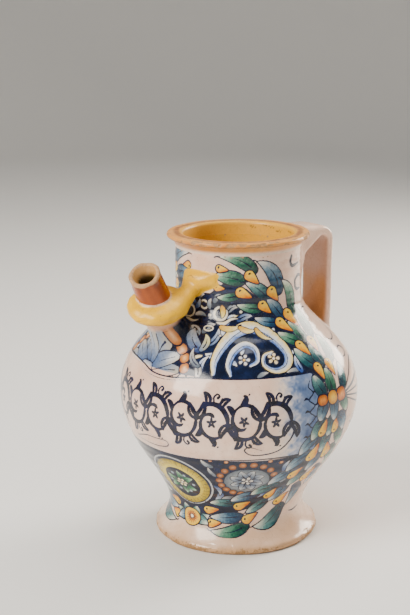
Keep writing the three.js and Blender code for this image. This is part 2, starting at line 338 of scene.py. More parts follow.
def settled(shape, points, most):
    """Points moved on to the shape's surface, each by no more than a cell."""
    way = slope(shape, points)
    move = shape(points)[:, None] * way / np.maximum((way ** 2).sum(1), 1e-6)[:, None]
    size = np.sqrt((move ** 2).sum(1))[:, None]
    return points - move * np.minimum(1, most / np.maximum(size, 1e-9))


def in_scene(name, data):
    """A new object in the scene."""
    made = bpy.data.objects.new(name, data)
    bpy.context.scene.collection.objects.link(made)
    return made


def mesh_piece(name, points, faces):
    """An object from points in millimetres and faces."""
    mesh = bpy.data.meshes.new(name)
    mesh.from_pydata((points * MM).tolist(), [], faces)
    mesh.update()
    return in_scene(name, mesh)


def apply_modifier(piece, modifier):
    """Makes the modifier's result the piece's own mesh, and takes the modifier off."""
    graph = bpy.context.evaluated_depsgraph_get()
    solid = bpy.data.meshes.new_from_object(piece.evaluated_get(graph), depsgraph=graph)
    piece.modifiers.remove(modifier)
    piece.data = solid


# The spout's own frame: its third axis runs up the spout

LEAN_COS, LEAN_SIN = math.cos(SPOUT_LEAN), math.sin(SPOUT_LEAN)
UP_SPOUT = np.array([[1, 0, 0], [0, LEAN_COS, LEAN_SIN], [0, -LEAN_SIN, LEAN_COS]])


def in_spout(p):
    """Points in the spout's frame."""
    return (p - SPOUT_ROOT) @ UP_SPOUT.T


def off_spout(q):
    """Points of the spout's frame in the jar's."""
    return q @ UP_SPOUT + SPOUT_ROOT


def round_spout(q):
    """Distance from the spout's axis, and the angle round it."""
    return np.hypot(q[..., 0], q[..., 1]), np.arctan2(q[..., 1], q[..., 0])


def tube_radius(along):
    """The tube's radius at a distance up the spout."""
    return SPOUT_MOUTH_R + SPOUT_TAPER * (SPOUT_LENGTH - along)


MOUTH_SQUARE = np.array([math.tan(MOUTH_TURN), -math.tan(MOUTH_DIP), 1.0])
MOUTH_SQUARE /= np.linalg.norm(MOUTH_SQUARE)
PEAK_TURN = 1.15  # where the mouth's edge has a small peak, left by the knife
MOUTH_EDGE = 1.1   # the reach of the rounding along the mouth's edge
BORE_NARROWING = 1.3  # how much narrower than its stated size the hole is below its funnel


def past_mouth(q):
    """Distance beyond the slanted, uneven cut of the mouth."""
    angle = round_spout(q)[1]
    uneven = 0.22 * np.sin(2 * angle + 0.5) + 0.14 * np.sin(5 * angle)
    uneven += 0.9 * np.exp(-((angle - PEAK_TURN) / 0.16) ** 2)
    return (q - np.array([0, 0, SPOUT_LENGTH])) @ MOUTH_SQUARE - uneven


def tube(q):
    """Distance from the spout's tube as a solid, pared with a knife and a little fuller at its rim."""
    away, angle = round_spout(q)
    pared = 0.14 * np.sin(5 * angle + 0.8) + 0.08 * np.sin(9 * angle + q[..., 2] / 14)
    mouth = past_mouth(q)
    rim = 0.45 * smooth(-4.5, -1, mouth)
    return cut(away - tube_radius(q[..., 2]) - pared - rim, mouth, MOUTH_EDGE)


def bore(q):
    """Distance from the hole through the spout, which opens like a funnel at the mouth."""
    funnel = 3.7 * np.clip((past_mouth(q) + 8) / 8.5, 0, 1.1) ** 1.6
    return round_spout(q)[0] - SPOUT_BORE_R + BORE_NARROWING - funnel


SKIN_LAP = 0.12   # how far the edge of a luted piece lies under the jar's skin
SKIN_DEPTH = 2.4  # how deep it reaches into the wall
COLLAR_SKIRT = 2.4  # how far clay may lie from the collar's roll and brace
SPOUT_FILLET, COLLAR_FILLET, BRACE_FILLET = 9.5, 2.6, 3.2
BORE_EDGE, LIP_JOINT_EDGE = 0.9, 1.2
SPOUT_SKIRT_R, SPOUT_SKIRT_LOW = 26, 16  # how far the smeared root goes round the spout, and down


def spout_shape(p):
    """The tube with its bore and its smeared root, and a little of the wall under it."""
    q = in_spout(p)
    jar = from_jar(p)
    body = fused(jar + SKIN_LAP, tube(q), SPOUT_FILLET)
    body = cut(body, -bore(q), BORE_EDGE)
    near = np.maximum(round_spout(q)[0] - SPOUT_SKIRT_R, -q[..., 2] - SPOUT_SKIRT_LOW)
    return np.maximum(np.maximum(body, -(jar + SKIN_DEPTH)), near)


def tipping():
    """The turn of the collar's plane out of square with the spout, as a matrix."""
    hinge = Vector((-math.sin(COLLAR_LOW_SIDE), math.cos(COLLAR_LOW_SIDE), 0))
    return np.array(Matrix.Rotation(COLLAR_TIP, 3, hinge))


TIPPING = tipping()


def collar_ring(q):
    """Distance from the roll of clay round the spout, uneven as rolled and pressed by hand."""
    x, y, z = np.moveaxis((q - np.array([0, 0, COLLAR_AT])) @ TIPPING, -1, 0)
    angle = np.arctan2(y, x)
    pressed = 0.16 * np.sin(7 * angle + 0.4 * z) + 0.12 * np.sin(13 * angle - 0.7 * z + 1)
    pressed += 0.1 * np.sin(4 * angle + z)
    depth = COLLAR_DEPTH * (1 + 0.035 * np.sin(angle * 2 + 2.2)) + pressed
    height = COLLAR_HEIGHT / 2 * (1 + 0.03 * np.sin(angle * 3 + 1)) + pressed / 2
    out = np.hypot(x, y) - tube_radius(COLLAR_AT)
    return from_oval(np.sqrt((out / depth) ** 2 + (z / height) ** 2), (out, depth), (z, height))


def brace_line():
    """The ends of the brace's middle line, on the collar and in the neck's wall."""
    out = tube_radius(COLLAR_AT) + COLLAR_DEPTH / 3
    start = TIPPING @ (np.array([math.cos(BRACE_START), math.sin(BRACE_START), 0]) * out)
    middle = off_spout(np.array([0, 0, COLLAR_AT]))
    turn = NECK_R - WALL / 2
    end = np.array([turn * math.sin(BRACE_TURN), -turn * math.cos(BRACE_TURN), 0])
    end[2] = middle[2] + (end[1] - middle[1]) * math.tan(SPOUT_LEAN) + BRACE_RISE
    return off_spout(start + [0, 0, COLLAR_AT]), end


BRACE_FROM, BRACE_TO = brace_line()


def brace_roll(p):
    """Distance from the roll between the collar and the neck."""
    way = BRACE_TO - BRACE_FROM
    along = np.clip((p - BRACE_FROM) @ way / (way @ way), -0.1, 1)
    across = np.cross(way, [0, 0, 1])
    across /= np.linalg.norm(across)
    square = np.cross(across, way)
    square /= np.linalg.norm(square)
    away = p - (BRACE_FROM + along[..., None] * way)
    share = np.clip(along, 0, 1) ** 2
    width, thickness = (a / 2 + (b - a) / 2 * share for a, b in (BRACE_WIDTHS, BRACE_THICKNESSES))
    x, y, z = away @ across, away @ square, away @ (way / np.linalg.norm(way))
    near = np.sqrt((x / width) ** 2 + (y / thickness) ** 2 + (z / thickness) ** 2)
    return from_oval(near, (x, width), (y, thickness), (z, thickness))


TONGUE_SQUARENESS = 3.4  # 2 would be an oval


def brace_tongue(p):
    """Distance from the brace's end, pressed flat on the neck, thinner towards its tip, and bent with it."""
    r, turn = polar(p)
    x, y = (turn - TONGUE_TURN) * NECK_R, p[..., 2] - BRACE_TO[2] - TONGUE_RISE
    narrowed = np.clip(x, -TONGUE_HEEL, TONGUE_WIDTH / 2 + 2) * TONGUE_TAPER
    y = y - narrowed
    stand = TONGUE_STAND * (1 - 0.025 * x) + 0.25 * np.sin(x / 2.3) * np.cos(y / 2.1)
    wide, tall = TONGUE_WIDTH / 2, TONGUE_HEIGHT / 2 - narrowed
    flat = np.abs(x / wide) ** TONGUE_SQUARENESS + np.abs(y / tall) ** TONGUE_SQUARENESS
    near = np.sqrt((flat ** (1 / TONGUE_SQUARENESS)) ** 2 + ((r - NECK_R) / stand) ** 2)
    return from_oval(near, (x, wide), (y, tall), (r - NECK_R, stand))


def collar_shape(p):
    """The roll, the brace and its tongue in one, let into the jar and the tube."""
    q = in_spout(p)
    roll = fused(fused(collar_ring(q), brace_roll(p), BRACE_FILLET), brace_tongue(p), BRACE_FILLET)
    jar = from_jar(p)
    body = fused(roll, jar + SKIN_LAP, COLLAR_FILLET)
    body = fused(body, tube(q) + SKIN_LAP, COLLAR_FILLET)
    reach = roll - COLLAR_SKIRT
    inner = np.maximum(-(jar + SKIN_DEPTH), -(round_spout(q)[0] - SPOUT_BORE_R - 1.6))
    return np.maximum(np.maximum(body, reach), inner)


def strap_side():
    """The handle seen from the side: distance from the axis and height, all round."""
    inner, under = HANDLE_REACH - HANDLE_THICKNESS, HANDLE_TOP - HANDLE_FALL - HANDLE_THICKNESS
    inside = NECK_R - WALL / 2
    top = HANDLE_TOP - HANDLE_FALL
    return joined(
        [[inside, HANDLE_TOP - HANDLE_ROOT], [inside, HANDLE_TOP]],
        bezier([(HANDLE_REACH - HANDLE_CORNER, top), (HANDLE_REACH, top),
                (HANDLE_REACH, under - HANDLE_CORNER / 2)], 14),
        [[HANDLE_LANDING, BELLY_Z], [HANDLE_LANDING - HANDLE_THICKNESS, BELLY_Z]],
        bezier([(inner, under - HANDLE_CORNER / 2), (inner, under),
                (inner - HANDLE_CORNER / 2, under - HANDLE_CORNER / 8)], 10))


def side_table(outline):
    """Distance from a closed outline over the table's places, less than 0 inside."""
    y, z = np.meshgrid(TABLE_R, TABLE_Z, indexing="ij")
    far = np.full(y.shape, 1e9)
    inside = np.zeros(y.shape, bool)
    for a, b in zip(outline, np.roll(outline, -1, axis=0)):
        way = b - a
        t = np.clip(((y - a[0]) * way[0] + (z - a[1]) * way[1]) / (way @ way), 0, 1)
        far = np.minimum(far, np.hypot(y - a[0] - t * way[0], z - a[1] - t * way[1]))
        if a[1] != b[1]:
            crosses = (a[1] > z) != (b[1] > z)
            inside ^= crosses & (y < a[0] + (z - a[1]) / (b[1] - a[1]) * way[0])
    return np.where(inside, -far, far)


STRAP_TABLE = side_table(strap_side())


STRAP_FULLNESS, STRAP_EDGE = 0.5, 3.6
STRAP_SKIRT = 20  # how far the smeared root goes round the strap


def strap(p):
    """Distance from the handle's strap, with softened edges and a slightly full face."""
    side = looked_up(STRAP_TABLE, p[..., 1], p[..., 2])
    full = STRAP_FULLNESS * (1 - (p[..., 0] / (HANDLE_WIDTH / 2)) ** 2)
    return cut(side - full + 0.3, np.abs(p[..., 0]) - HANDLE_WIDTH / 2, STRAP_EDGE)


def strap_shape(p):
    """The strap with its smeared root, cut off inside the lip."""
    jar = from_jar(p)
    z = p[..., 2]
    # The potter's thumb left a wide cove under the root and almost none against the lip
    reach = 8 + 9 * smooth(201, 188, z) * smooth(164, 176, z) - 5.6 * smooth(200, 208, z)
    body = fused(strap(p), jar + SKIN_LAP, reach)
    in_lip = LIP_R - 2.4 - np.hypot(p[..., 0], p[..., 1]) - 12 * smooth(210, 204, z)
    body = cut(body, in_lip, LIP_JOINT_EDGE)
    near = np.maximum(strap(p) - STRAP_SKIRT, -(jar + SKIN_DEPTH))
    return np.maximum(body, near)


FOOT_SLIP, NECK_SLIP = 1.75, 0.55       # how far the foot and the neck are off the axis
SLIP_WAY = np.array([0.643, 0.766])     # the way from where they are back to the axis


def thrown(p):
    """Where the hand-made jar really is.

    It is a little off its axis at the foot and neck, out of round, and ribbed by the fingers.
    """
    r, turn = polar(p)
    z = p[:, 2]
    part = np.clip(r / 30, 0, 1) * smooth(4, 1, r - radius_at(z))
    ribs = 0.11 * np.sin(z / 1.15 + 0.9 * turn) * smooth(26, 40, z) * smooth(98, 70, z)
    ribs += 0.07 * np.sin(z / 0.85 + turn) * smooth(128, 150, z) * smooth(206, 200, z)
    oval = 0.003 * np.cos(2 * turn - 1.1) * smooth(120, 200, z)
    oval += 0.004 * np.cos(2 * turn + 1) * smooth(60, 10, z)
    out = 1 + (oval * r + part * ribs) / np.maximum(r, 1e-6)
    off = FOOT_SLIP * smooth(66, 16, z) + NECK_SLIP * smooth(160, 185, z)
    moved = p.copy()
    moved[:, :2] = p[:, :2] * out[:, None] - off[:, None] * SLIP_WAY
    return moved


# The turned walls

WELD = 2e-6          # metres: points that are nearer than this are one
CROWDING = 0.35      # how much closer the columns are on the side that is painted most
PAINTED_SIDE = 18    # degrees round from the spout
SPARSE_SIDE = math.radians(PAINTED_SIDE - 90 + 180)  # the azimuth with the widest columns, measured from +X
KNOB_KINDS = {"Columns": "Int", "Rows": "Int", "Crowding": "Float", "Facing": "Float", "Glaze": "Material"}


def turning_tree():
    """Turns a line of points about the jar's axis, closer together towards the side that is painted most."""
    tree = bpy.data.node_groups.new("Turned on the wheel", "GeometryNodeTree")
    face = tree.interface
    face.new_socket("Geometry", in_out="INPUT", socket_type="NodeSocketGeometry")
    knobs = {}
    for label, kind in KNOB_KINDS.items():
        knobs[label] = face.new_socket(label, in_out="INPUT", socket_type="NodeSocket" + kind).identifier
    face.new_socket("Geometry", in_out="OUTPUT", socket_type="NodeSocketGeometry")
    given = node(tree, "NodeGroupInput")
    more_columns = node(tree, "ShaderNodeMath", {0: given["Columns"], 1: 1.0})[0]
    more_rows = node(tree, "ShaderNodeMath", {0: given["Rows"], 1: 1.0})[0]
    sheet = node(tree, "GeometryNodeMeshGrid", {
        "Size X": 1.0, "Size Y": 1.0, "Vertices X": more_columns, "Vertices Y": more_rows})
    kept = node(tree, "GeometryNodeStoreNamedAttribute", {
        "Geometry": sheet["Mesh"], "Name": "OFBake", "Value": sheet["UV Map"]},
        data_type="FLOAT2", domain="CORNER")[0]
    place = node(tree, "ShaderNodeSeparateXYZ", {0: node(tree, "GeometryNodeInputPosition")[0]})
    share = node(tree, "ShaderNodeMath", {0: place["X"], 1: 0.5})[0]
    height = node(tree, "ShaderNodeMath", {0: place["Y"], 1: 0.5})[0]
    turn = node(tree, "ShaderNodeMath", {0: share, 1: math.tau}, operation="MULTIPLY")[0]
    swing = node(tree, "ShaderNodeMath", {0: turn}, operation="SINE")[0]
    eased = node(tree, "ShaderNodeMath", {0: swing, 1: given["Crowding"], 2: turn},
                 operation="MULTIPLY_ADD")[0]
    angle = node(tree, "ShaderNodeMath", {0: eased, 1: given["Facing"]})[0]
    step = node(tree, "ShaderNodeMath", {0: height, 1: given["Rows"]}, operation="MULTIPLY")[0]
    whole = node(tree, "ShaderNodeMath", {0: step}, operation="ROUND")[0]
    row = node(tree, "ShaderNodeMath", {0: whole, 1: given["Rows"]}, operation="FLOORED_MODULO")[0]
    point = node(tree, "GeometryNodeSampleIndex", {
        "Geometry": given["Geometry"], "Value": node(tree, "GeometryNodeInputPosition")[0],
        "Index": row}, data_type="FLOAT_VECTOR")[0]
    wheel = node(tree, "ShaderNodeVectorRotate", {
        "Vector": point, "Axis": (0.0, 0.0, 1.0), "Angle": angle}, rotation_type="AXIS_ANGLE")[0]
    spun = node(tree, "GeometryNodeSetPosition", {"Geometry": kept, "Position": wheel})[0]
    shut = node(tree, "GeometryNodeMergeByDistance", {"Geometry": spun, "Distance": WELD})[0]
    # Where the line follows the axis, its faces shrink to a bare edge, which is taken away
    beside = node(tree, "GeometryNodeInputMeshEdgeNeighbors")[0]
    stray = node(tree, "FunctionNodeCompare", {2: beside, 3: 0}, data_type="INT", operation="EQUAL")[0]
    clean = node(tree, "GeometryNodeDeleteGeometry", {"Geometry": shut, "Selection": stray},
                 domain="EDGE")[0]
    real = node(tree, "GeometryNodeRealizeInstances", {"Geometry": clean})[0]
    glazed = node(tree, "GeometryNodeSetMaterial", {"Geometry": real, "Material": given["Glaze"]})[0]
    node(tree, "NodeGroupOutput", {"Geometry": glazed})
    return tree, knobs


TURNING, KNOBS = turning_tree()
STRIPS, STRIP_GAP = 3, 0.006  # the baked finish of a piece's outside is laid out in this many strips
OUTSIDE_PART = 0.86           # the share of the layout that the outside takes


def strips(piece, rows, outer_rows):
    """A flat layout of a turned piece for its baked finish.

    The outside lies in even strips one over the other, and the rest above them.
    """
    layout = piece.data.attributes["OFBake"]
    flat_list = np.empty(len(layout.data) * 2, np.float32)
    layout.data.foreach_get("vector", flat_list)
    uv = flat_list.reshape(-1, 2)
    counts = np.empty(len(piece.data.polygons), np.int32)
    piece.data.polygons.foreach_get("loop_total", counts)
    face = np.repeat(np.arange(len(counts)), counts)
    middle = np.zeros((len(counts), 2))
    np.add.at(middle, face, uv)
    middle = (middle / counts[:, None])[face]
    strip = np.minimum((middle[:, 0] * STRIPS).astype(int), STRIPS - 1)
    outside = middle[:, 1] * rows < outer_rows
    outer_share, tall = outer_rows / rows, OUTSIDE_PART / STRIPS
    x = np.where(outside, uv[:, 0] * STRIPS - strip, uv[:, 0])
    outer_y = strip * tall + (tall - STRIP_GAP) * uv[:, 1] / outer_share
    rest = (1 - OUTSIDE_PART - STRIP_GAP) * (uv[:, 1] - outer_share) / max(1 - outer_share, 1e-6)
    y = np.where(outside, outer_y, OUTSIDE_PART + rest)
    flat = np.column_stack([STRIP_GAP + x * (1 - 2 * STRIP_GAP), y])
    layout.data.foreach_set("vector", flat.astype(np.float32).ravel())


def turned(name, line, outer_rows, columns, glaze):
    """A closed ring of clay: the points round its section, the outer ones first, turned about the axis."""
    mesh = bpy.data.meshes.new(name + "_line")
    mesh.from_pydata([(r * MM, 0, z * MM) for r, z in line], [], [])
    piece = in_scene(name, mesh)
    wheel = piece.modifiers.new("wheel", "NODES")
    wheel.node_group = TURNING
    values = {"Columns": columns, "Rows": len(line), "Crowding": CROWDING, "Facing": SPARSE_SIDE,
              "Glaze": glaze}
    for knob, value in values.items():
        wheel[KNOBS[knob]] = value
    apply_modifier(piece, wheel)
    piece.data.name = name
    bpy.data.meshes.remove(mesh)
    strips(piece, len(line), outer_rows)
    return piece


# The painting, laid out flat

# Across it runs the azimuth from the spout, and upwards the run of the wall over its radius, so that shapes
# keep their angles
DOTS = 360  # places to a radian, which is 0.23 mm at the jar's widest
RUN = np.concatenate([[0], np.cumsum(
    np.hypot(*np.diff(OUTLINE, axis=0).T) / ((OUTLINE[1:, 0] + OUTLINE[:-1, 0]) / 2))])
PAINT_LOW, PAINT_HIGH = np.interp((10, 207), OUTLINE[:, 1], RUN)
CLEAR = 3.0  # millimetres from any ink, where there is none near
PEN = 0.36   # half the width of a painted outline in millimetres
USUAL_R = 65  # a middling radius, by which the clouds' widths are measured


def at(u, z):
    """A place in the painting's plane from degrees round from the spout and a height."""
    return np.stack([np.radians(np.asarray(u, float)), np.interp(z, OUTLINE[:, 1], RUN)], -1)


def spots(*pairs):
    """Several places at once."""
    pairs = np.array(pairs, float)
    return at(pairs[:, 0], pairs[:, 1])


def curve(points, count=8):
    """A smooth line through places, with count steps between each two."""
    b = np.asarray(points, float)
    past_end = 2 * b[-1] - b[-2]
    a = np.vstack([2 * b[0] - b[1], b[:-1]])
    c = np.vstack([b[1:], past_end])
    d = np.vstack([b[2:], past_end, past_end])
    t = (np.arange(count) / count)[:, None, None]
    line = 0.5 * (2 * b + (c - a) * t + (2 * a - 5 * b + 4 * c - d) * t ** 2
                  + (3 * b - a - 3 * c + d) * t ** 3)
    return np.vstack([line.transpose(1, 0, 2)[:-1].reshape(-1, 2), b[-1:]])


def spread(values, count):
    """The values drawn out evenly over a number of places."""
    return np.interp(np.linspace(0, 1, count), np.linspace(0, 1, len(values)), values)

def ramp(share, *stops):
    """A colour for each share, running evenly through (share, hex colour) stops."""
    at_share = [s for s, _ in stops]
    tones = np.array([linear(code) for _, code in stops])
    return np.stack([np.interp(share, at_share, tones[:, i]) for i in range(3)], -1)


def back(stops):
    """The same run of colours the other way."""
    return [(1 - share, code) for share, code in reversed(stops)]


def cloud(scale, seed):
    """Soft even patches over the whole painting, from 0 to 1, about as wide as scale in millimetres."""
    rng = np.random.default_rng(seed)
    gap = scale / USUAL_R * DOTS
    rows, cols = int(HIGH_DOTS / gap) + 3, int(WIDE_DOTS / gap) + 1
    lattice = rng.random((rows, cols))
    y, x = np.arange(HIGH_DOTS) / gap, np.arange(WIDE_DOTS) / WIDE_DOTS * cols
    i, j = y.astype(int), x.astype(int)
    fy, fx = smooth(0, 1, y - i)[:, None], smooth(0, 1, x - j)[None]
    j2 = (j + 1) % cols
    top = lattice[i][:, j] * (1 - fx) + lattice[i][:, j2] * fx
    low = lattice[i + 1][:, j] * (1 - fx) + lattice[i + 1][:, j2] * fx
    return (top * (1 - fy) + low * fy).astype(np.float32)


WIDE_DOTS = int(round(math.tau * DOTS))
HIGH_DOTS = int((PAINT_HIGH - PAINT_LOW) * DOTS)
ROW_RUN = PAINT_LOW + (np.arange(HIGH_DOTS) + 0.5) / DOTS
ROW_R = np.interp(ROW_RUN, RUN, OUTLINE[:, 0])
HUE = np.zeros((HIGH_DOTS, WIDE_DOTS, 3), np.float32)
COVER = np.zeros((HIGH_DOTS, WIDE_DOTS), np.float32)
INK = np.full((HIGH_DOTS, WIDE_DOTS), CLEAR, np.float32)
PATCHES = cloud(9, seed=3) * 0.6 + cloud(3, seed=4) * 0.4
STREAKS = 0.55 * cloud(1.7, seed=5) + 0.45 * cloud(0.9, seed=6) - 0.5
hand = np.random.default_rng(11)


def trace(line, half, margin=CLEAR):
    """The part of the painting round a line.

    It tells where that is, how far each place lies outside the line's width in millimetres, and how far
    along the line and across its width.
    """
    line, half = np.asarray(line, float), np.broadcast_to(np.asarray(half, float), len(line))
    radius = np.interp(line[:, 1], RUN, OUTLINE[:, 0]).min()
    reach = (half.max() + margin) / radius
    low = (line.min(0) - reach - [-math.pi, PAINT_LOW]) * DOTS
    high = (line.max(0) + reach - [-math.pi, PAINT_LOW]) * DOTS
    rows = np.arange(max(int(low[1]), 0), min(int(high[1]) + 1, HIGH_DOTS))
    cols = np.arange(int(low[0]), int(high[0]) + 1)
    x, y, r = (cols + 0.5) / DOTS - math.pi, ROW_RUN[rows], ROW_R[rows]
    out = np.full((len(rows), len(cols)), 50.0)
    along, across = np.zeros_like(out), np.zeros_like(out)
    run = lengths(line)
    for k in range(len(line) - 1):
        (ax, ay), (bx, by) = line[k], line[k + 1]
        size = (bx - ax) ** 2 + (by - ay) ** 2
        if size == 0 or not len(rows):
            continue
        i0, i1 = np.searchsorted(y, (min(ay, by) - reach, max(ay, by) + reach))
        j0, j1 = np.searchsorted(x, (min(ax, bx) - reach, max(ax, bx) + reach))
        px, py = x[None, j0:j1] - ax, y[i0:i1, None] - ay
        t = np.clip((px * (bx - ax) + py * (by - ay)) / size, 0, 1)
        gap = np.hypot(px - t * (bx - ax), py - t * (by - ay)) * r[i0:i1, None]
        width = half[k] + t * (half[k + 1] - half[k])
        side = np.sign(px * (by - ay) - py * (bx - ax))
        part = (slice(i0, i1), slice(j0, j1))
        better = gap - width < out[part]
        out[part] = np.where(better, gap - width, out[part])
        along[part] = np.where(better, (run[k] + t * (run[k + 1] - run[k])) / run[-1], along[part])
        across[part] = np.where(better, side * gap / np.maximum(width, 1e-3), across[part])
    return np.ix_(rows, cols % WIDE_DOTS), out, along, across


def degrees_of(spot):
    """How far round from the spout the places are."""
    return np.degrees((spot[1] + 0.5) / DOTS - math.pi)


def lay(spot, out, colour, outline=PEN):
    """Fills a shape with colour over what is there, and draws its outline."""
    inside = smooth(0.14, -0.14, out)
    HUE[spot] += (colour - HUE[spot]) * inside[..., None]
    COVER[spot] += (1 - COVER[spot]) * inside
    ink = np.maximum(INK[spot], -out)
    if outline:
        ink = np.minimum(ink, np.abs(out) - outline)
    INK[spot] = ink


def draw(line, half):
    """Ink along a line, with half its width at each of its points."""
    spot, out, _, _ = trace(line, half)
    INK[spot] = np.minimum(INK[spot], out)


def stroke(points, half, count=8):
    """Ink along a smooth line, with half its width at each of its places or at all of them."""
    line = curve(points, count)
    draw(line, spread(np.broadcast_to(np.asarray(half, float), len(points)), len(line)))


def ribbon(points, half, stops, outline=PEN):
    """A brushed band along a smooth line, coloured from one edge (0) to the other (1)."""
    line = curve(points)
    spot, out, _, across = trace(line, spread(half, len(line)))
    lay(spot, out, ramp(0.5 + across / 2 + 0.35 * STREAKS[spot], *stops), outline)


def area(corners, colour, outline):
    """A closed shape, with a colour worked out for each of its places."""
    shut = np.vstack([corners, corners[:1]])
    spot, out, _, _ = trace(shut, 0.0, margin=2)
    rows, cols = spot
    x, y = (cols + 0.5) / DOTS - math.pi, ROW_RUN[rows]
    inside = np.zeros(out.shape, bool)
    for (ax, ay), (bx, by) in zip(shut, shut[1:]):
        if ay != by:
            inside ^= ((ay > y) != (by > y)) & (x < ax + (y - ay) / (by - ay) * (bx - ax))
    out = np.where(inside, -np.minimum(out, 5), out)
    lay(spot, out, colour(spot), outline)


def shifted(place, angle, distance):
    """A place moved by millimetres on the jar, at an angle counted from the spout's right."""
    r = np.interp(place[1], RUN, OUTLINE[:, 0])
    return place + np.array([math.cos(angle), math.sin(angle)]) * distance / r


def heading(a, b):
    """The angle at which one place is seen from another."""
    return math.atan2(b[1] - a[1], b[0] - a[0])


def all_round(count, first=0.0, shift=0.0):
    """Even angles all round, from the first one on or a share of a step further."""
    return [first + (k + shift) * math.tau / count for k in range(count)]


def span(a, b):
    """The distance between two places on the jar, in millimetres."""
    return math.hypot(*(b - a)) * np.interp((a[1] + b[1]) / 2, RUN, OUTLINE[:, 0])


LAUREL = [(0, "#0f2c3e"), (0.3, "#1f5158"), (0.58, "#5c8a88"), (0.8, "#c3cbb9"), (1, "#efe3d6")]
LAUREL_GREEN = [(0, "#113733"), (0.3, "#245c47"), (0.6, "#67967c"), (0.82, "#c9d0b6"), (1, "#efe3d6")]
LAUREL_BLUE = [(0, "#122a4a"), (0.32, "#28506c"), (0.6, "#7290a2"), (0.82, "#c7cac8"), (1, "#efe3d6")]


LEAF_STEPS = 12


def leaf(base, tip, width, bend=0.0, stops=LAUREL, outline=PEN, vein=True, blunt=0.0):
    """A painted leaf: dark at its base, pale at its tip, with a middle vein and brushed streaks."""
    way = heading(base, tip)
    middle = shifted((base + tip) / 2, way + math.pi / 2, bend * span(base, tip))
    line = bezier([base, 2 * middle - (base + tip) / 2, tip], LEAF_STEPS)
    t = np.linspace(0, 1, LEAF_STEPS + 1)
    full = (1.001 - t) ** (0.94 - 0.35 * blunt) * (t + 0.1) ** 0.5
    spot, out, along, across = trace(line, width / 2 * full / full.max())
    share = along + 0.12 * across + 0.5 * STREAKS[spot] * (1 - along) + 0.1 * (PATCHES[spot] - 0.5)
    colour = ramp(share, *stops)
    colour *= (1 - 0.3 * smooth(0.1, 0.9, across) * (1 - along))[..., None]
    lay(spot, out, colour, outline)
    if vein:
        draw(line[1:-3], spread((0.5, 0.34, 0.1), LEAF_STEPS - 3))


FRUIT = [(0, "#f7c62c"), (0.36, "#efa514"), (0.68, "#d4700c"), (1, "#b44806")]


def fruit(middle, tail, size):
    """A yellow drop with an orange cheek and a dark eye at its round end."""
    way = heading(middle, tail)
    t = np.linspace(0, 1, 9)
    end = shifted(middle, way, size * 1.16)
    line = middle + (end - middle) * t[:, None]
    spot, out, along, across = trace(line, size / 2 * (1 - t) ** 0.72 + 0.05)
    share = 0.1 + 0.5 * np.clip(across, -1, 1) * 0.8 + 0.65 * along + 0.35 * STREAKS[spot]
    lay(spot, out, ramp(share, *FRUIT), 0.42)
    eye = shifted(middle, way + 2.6, size * 0.18)
    stroke([eye, shifted(eye, way + 1.2, 0.7)], 0.62, count=2)


def disc(middle, wide, tall, stops, outline=PEN, turn=0.0):
    """An oval shaded from its middle (0) to its edge (1)."""
    half_line = max(wide - tall, 0.01) / 2
    a, b = shifted(middle, turn, half_line), shifted(middle, turn, -half_line)
    spot, out, _, _ = trace(np.array([a, b]), tall / 2)
    share = np.clip(1 + out / (tall / 2), 0, 1) + 0.25 * STREAKS[spot]
    lay(spot, out, ramp(share, *stops), outline)


def ring(middle, wide, tall, half, stops, outline=PEN):
    """An oval band, coloured from its outer edge to its inner one."""
    r = np.interp(middle[1], RUN, OUTLINE[:, 0])
    turns = np.linspace(0, math.tau, 61)
    line = middle + np.stack([np.cos(turns) * wide, np.sin(turns) * tall], 1) / 2 / r
    spot, out, _, across = trace(line, half)
    share = 0.5 + across / 2 + 0.4 * STREAKS[spot]
    lay(spot, out, ramp(share, *stops), outline)
    return line


def rosette(middle, size, petals, stops, eye="#f3e9dc"):
    """A round flower: petals shaded outwards, a seam between each two, and a pale eye."""
    petal_r = size * 0.17
    for way in all_round(petals):
        near, far = shifted(middle, way, size * 0.1), shifted(middle, way, size * 0.36)
        spot, out, along, _ = trace(np.array([near, far]), [size * 0.08, petal_r])
        r = np.clip(1 + out / petal_r, 0, 1)
        lay(spot, out, ramp(0.25 + 0.6 * along + 0.35 * STREAKS[spot] + 0.1 * r, *stops), 0.3)
    disc(middle, size * 0.3, size * 0.3, [(0, eye), (0.6, eye), (1, stops[-1][1])], 0.3)


# What is painted where

def axis(z):
    """The azimuth of the line that the two arms of the wreath mirror each other in."""
    return 4 + 7 * smooth(60, 24, z) + 13 * smooth(150, 192, z)


def placed(pairs, left):
    """Degrees and heights as places in the plane, on the right side or mirrored on to the left."""
    pairs = np.array(pairs, float)
    if left:
        pairs[:, 0] = 2 * axis(pairs[:, 1]) - pairs[:, 0]
    return at(pairs[:, 0], pairs[:, 1])


def one_placed(u, z, left):
    """A single place, on the right side or mirrored on to the left."""
    return placed([(u, z)], left)[0]


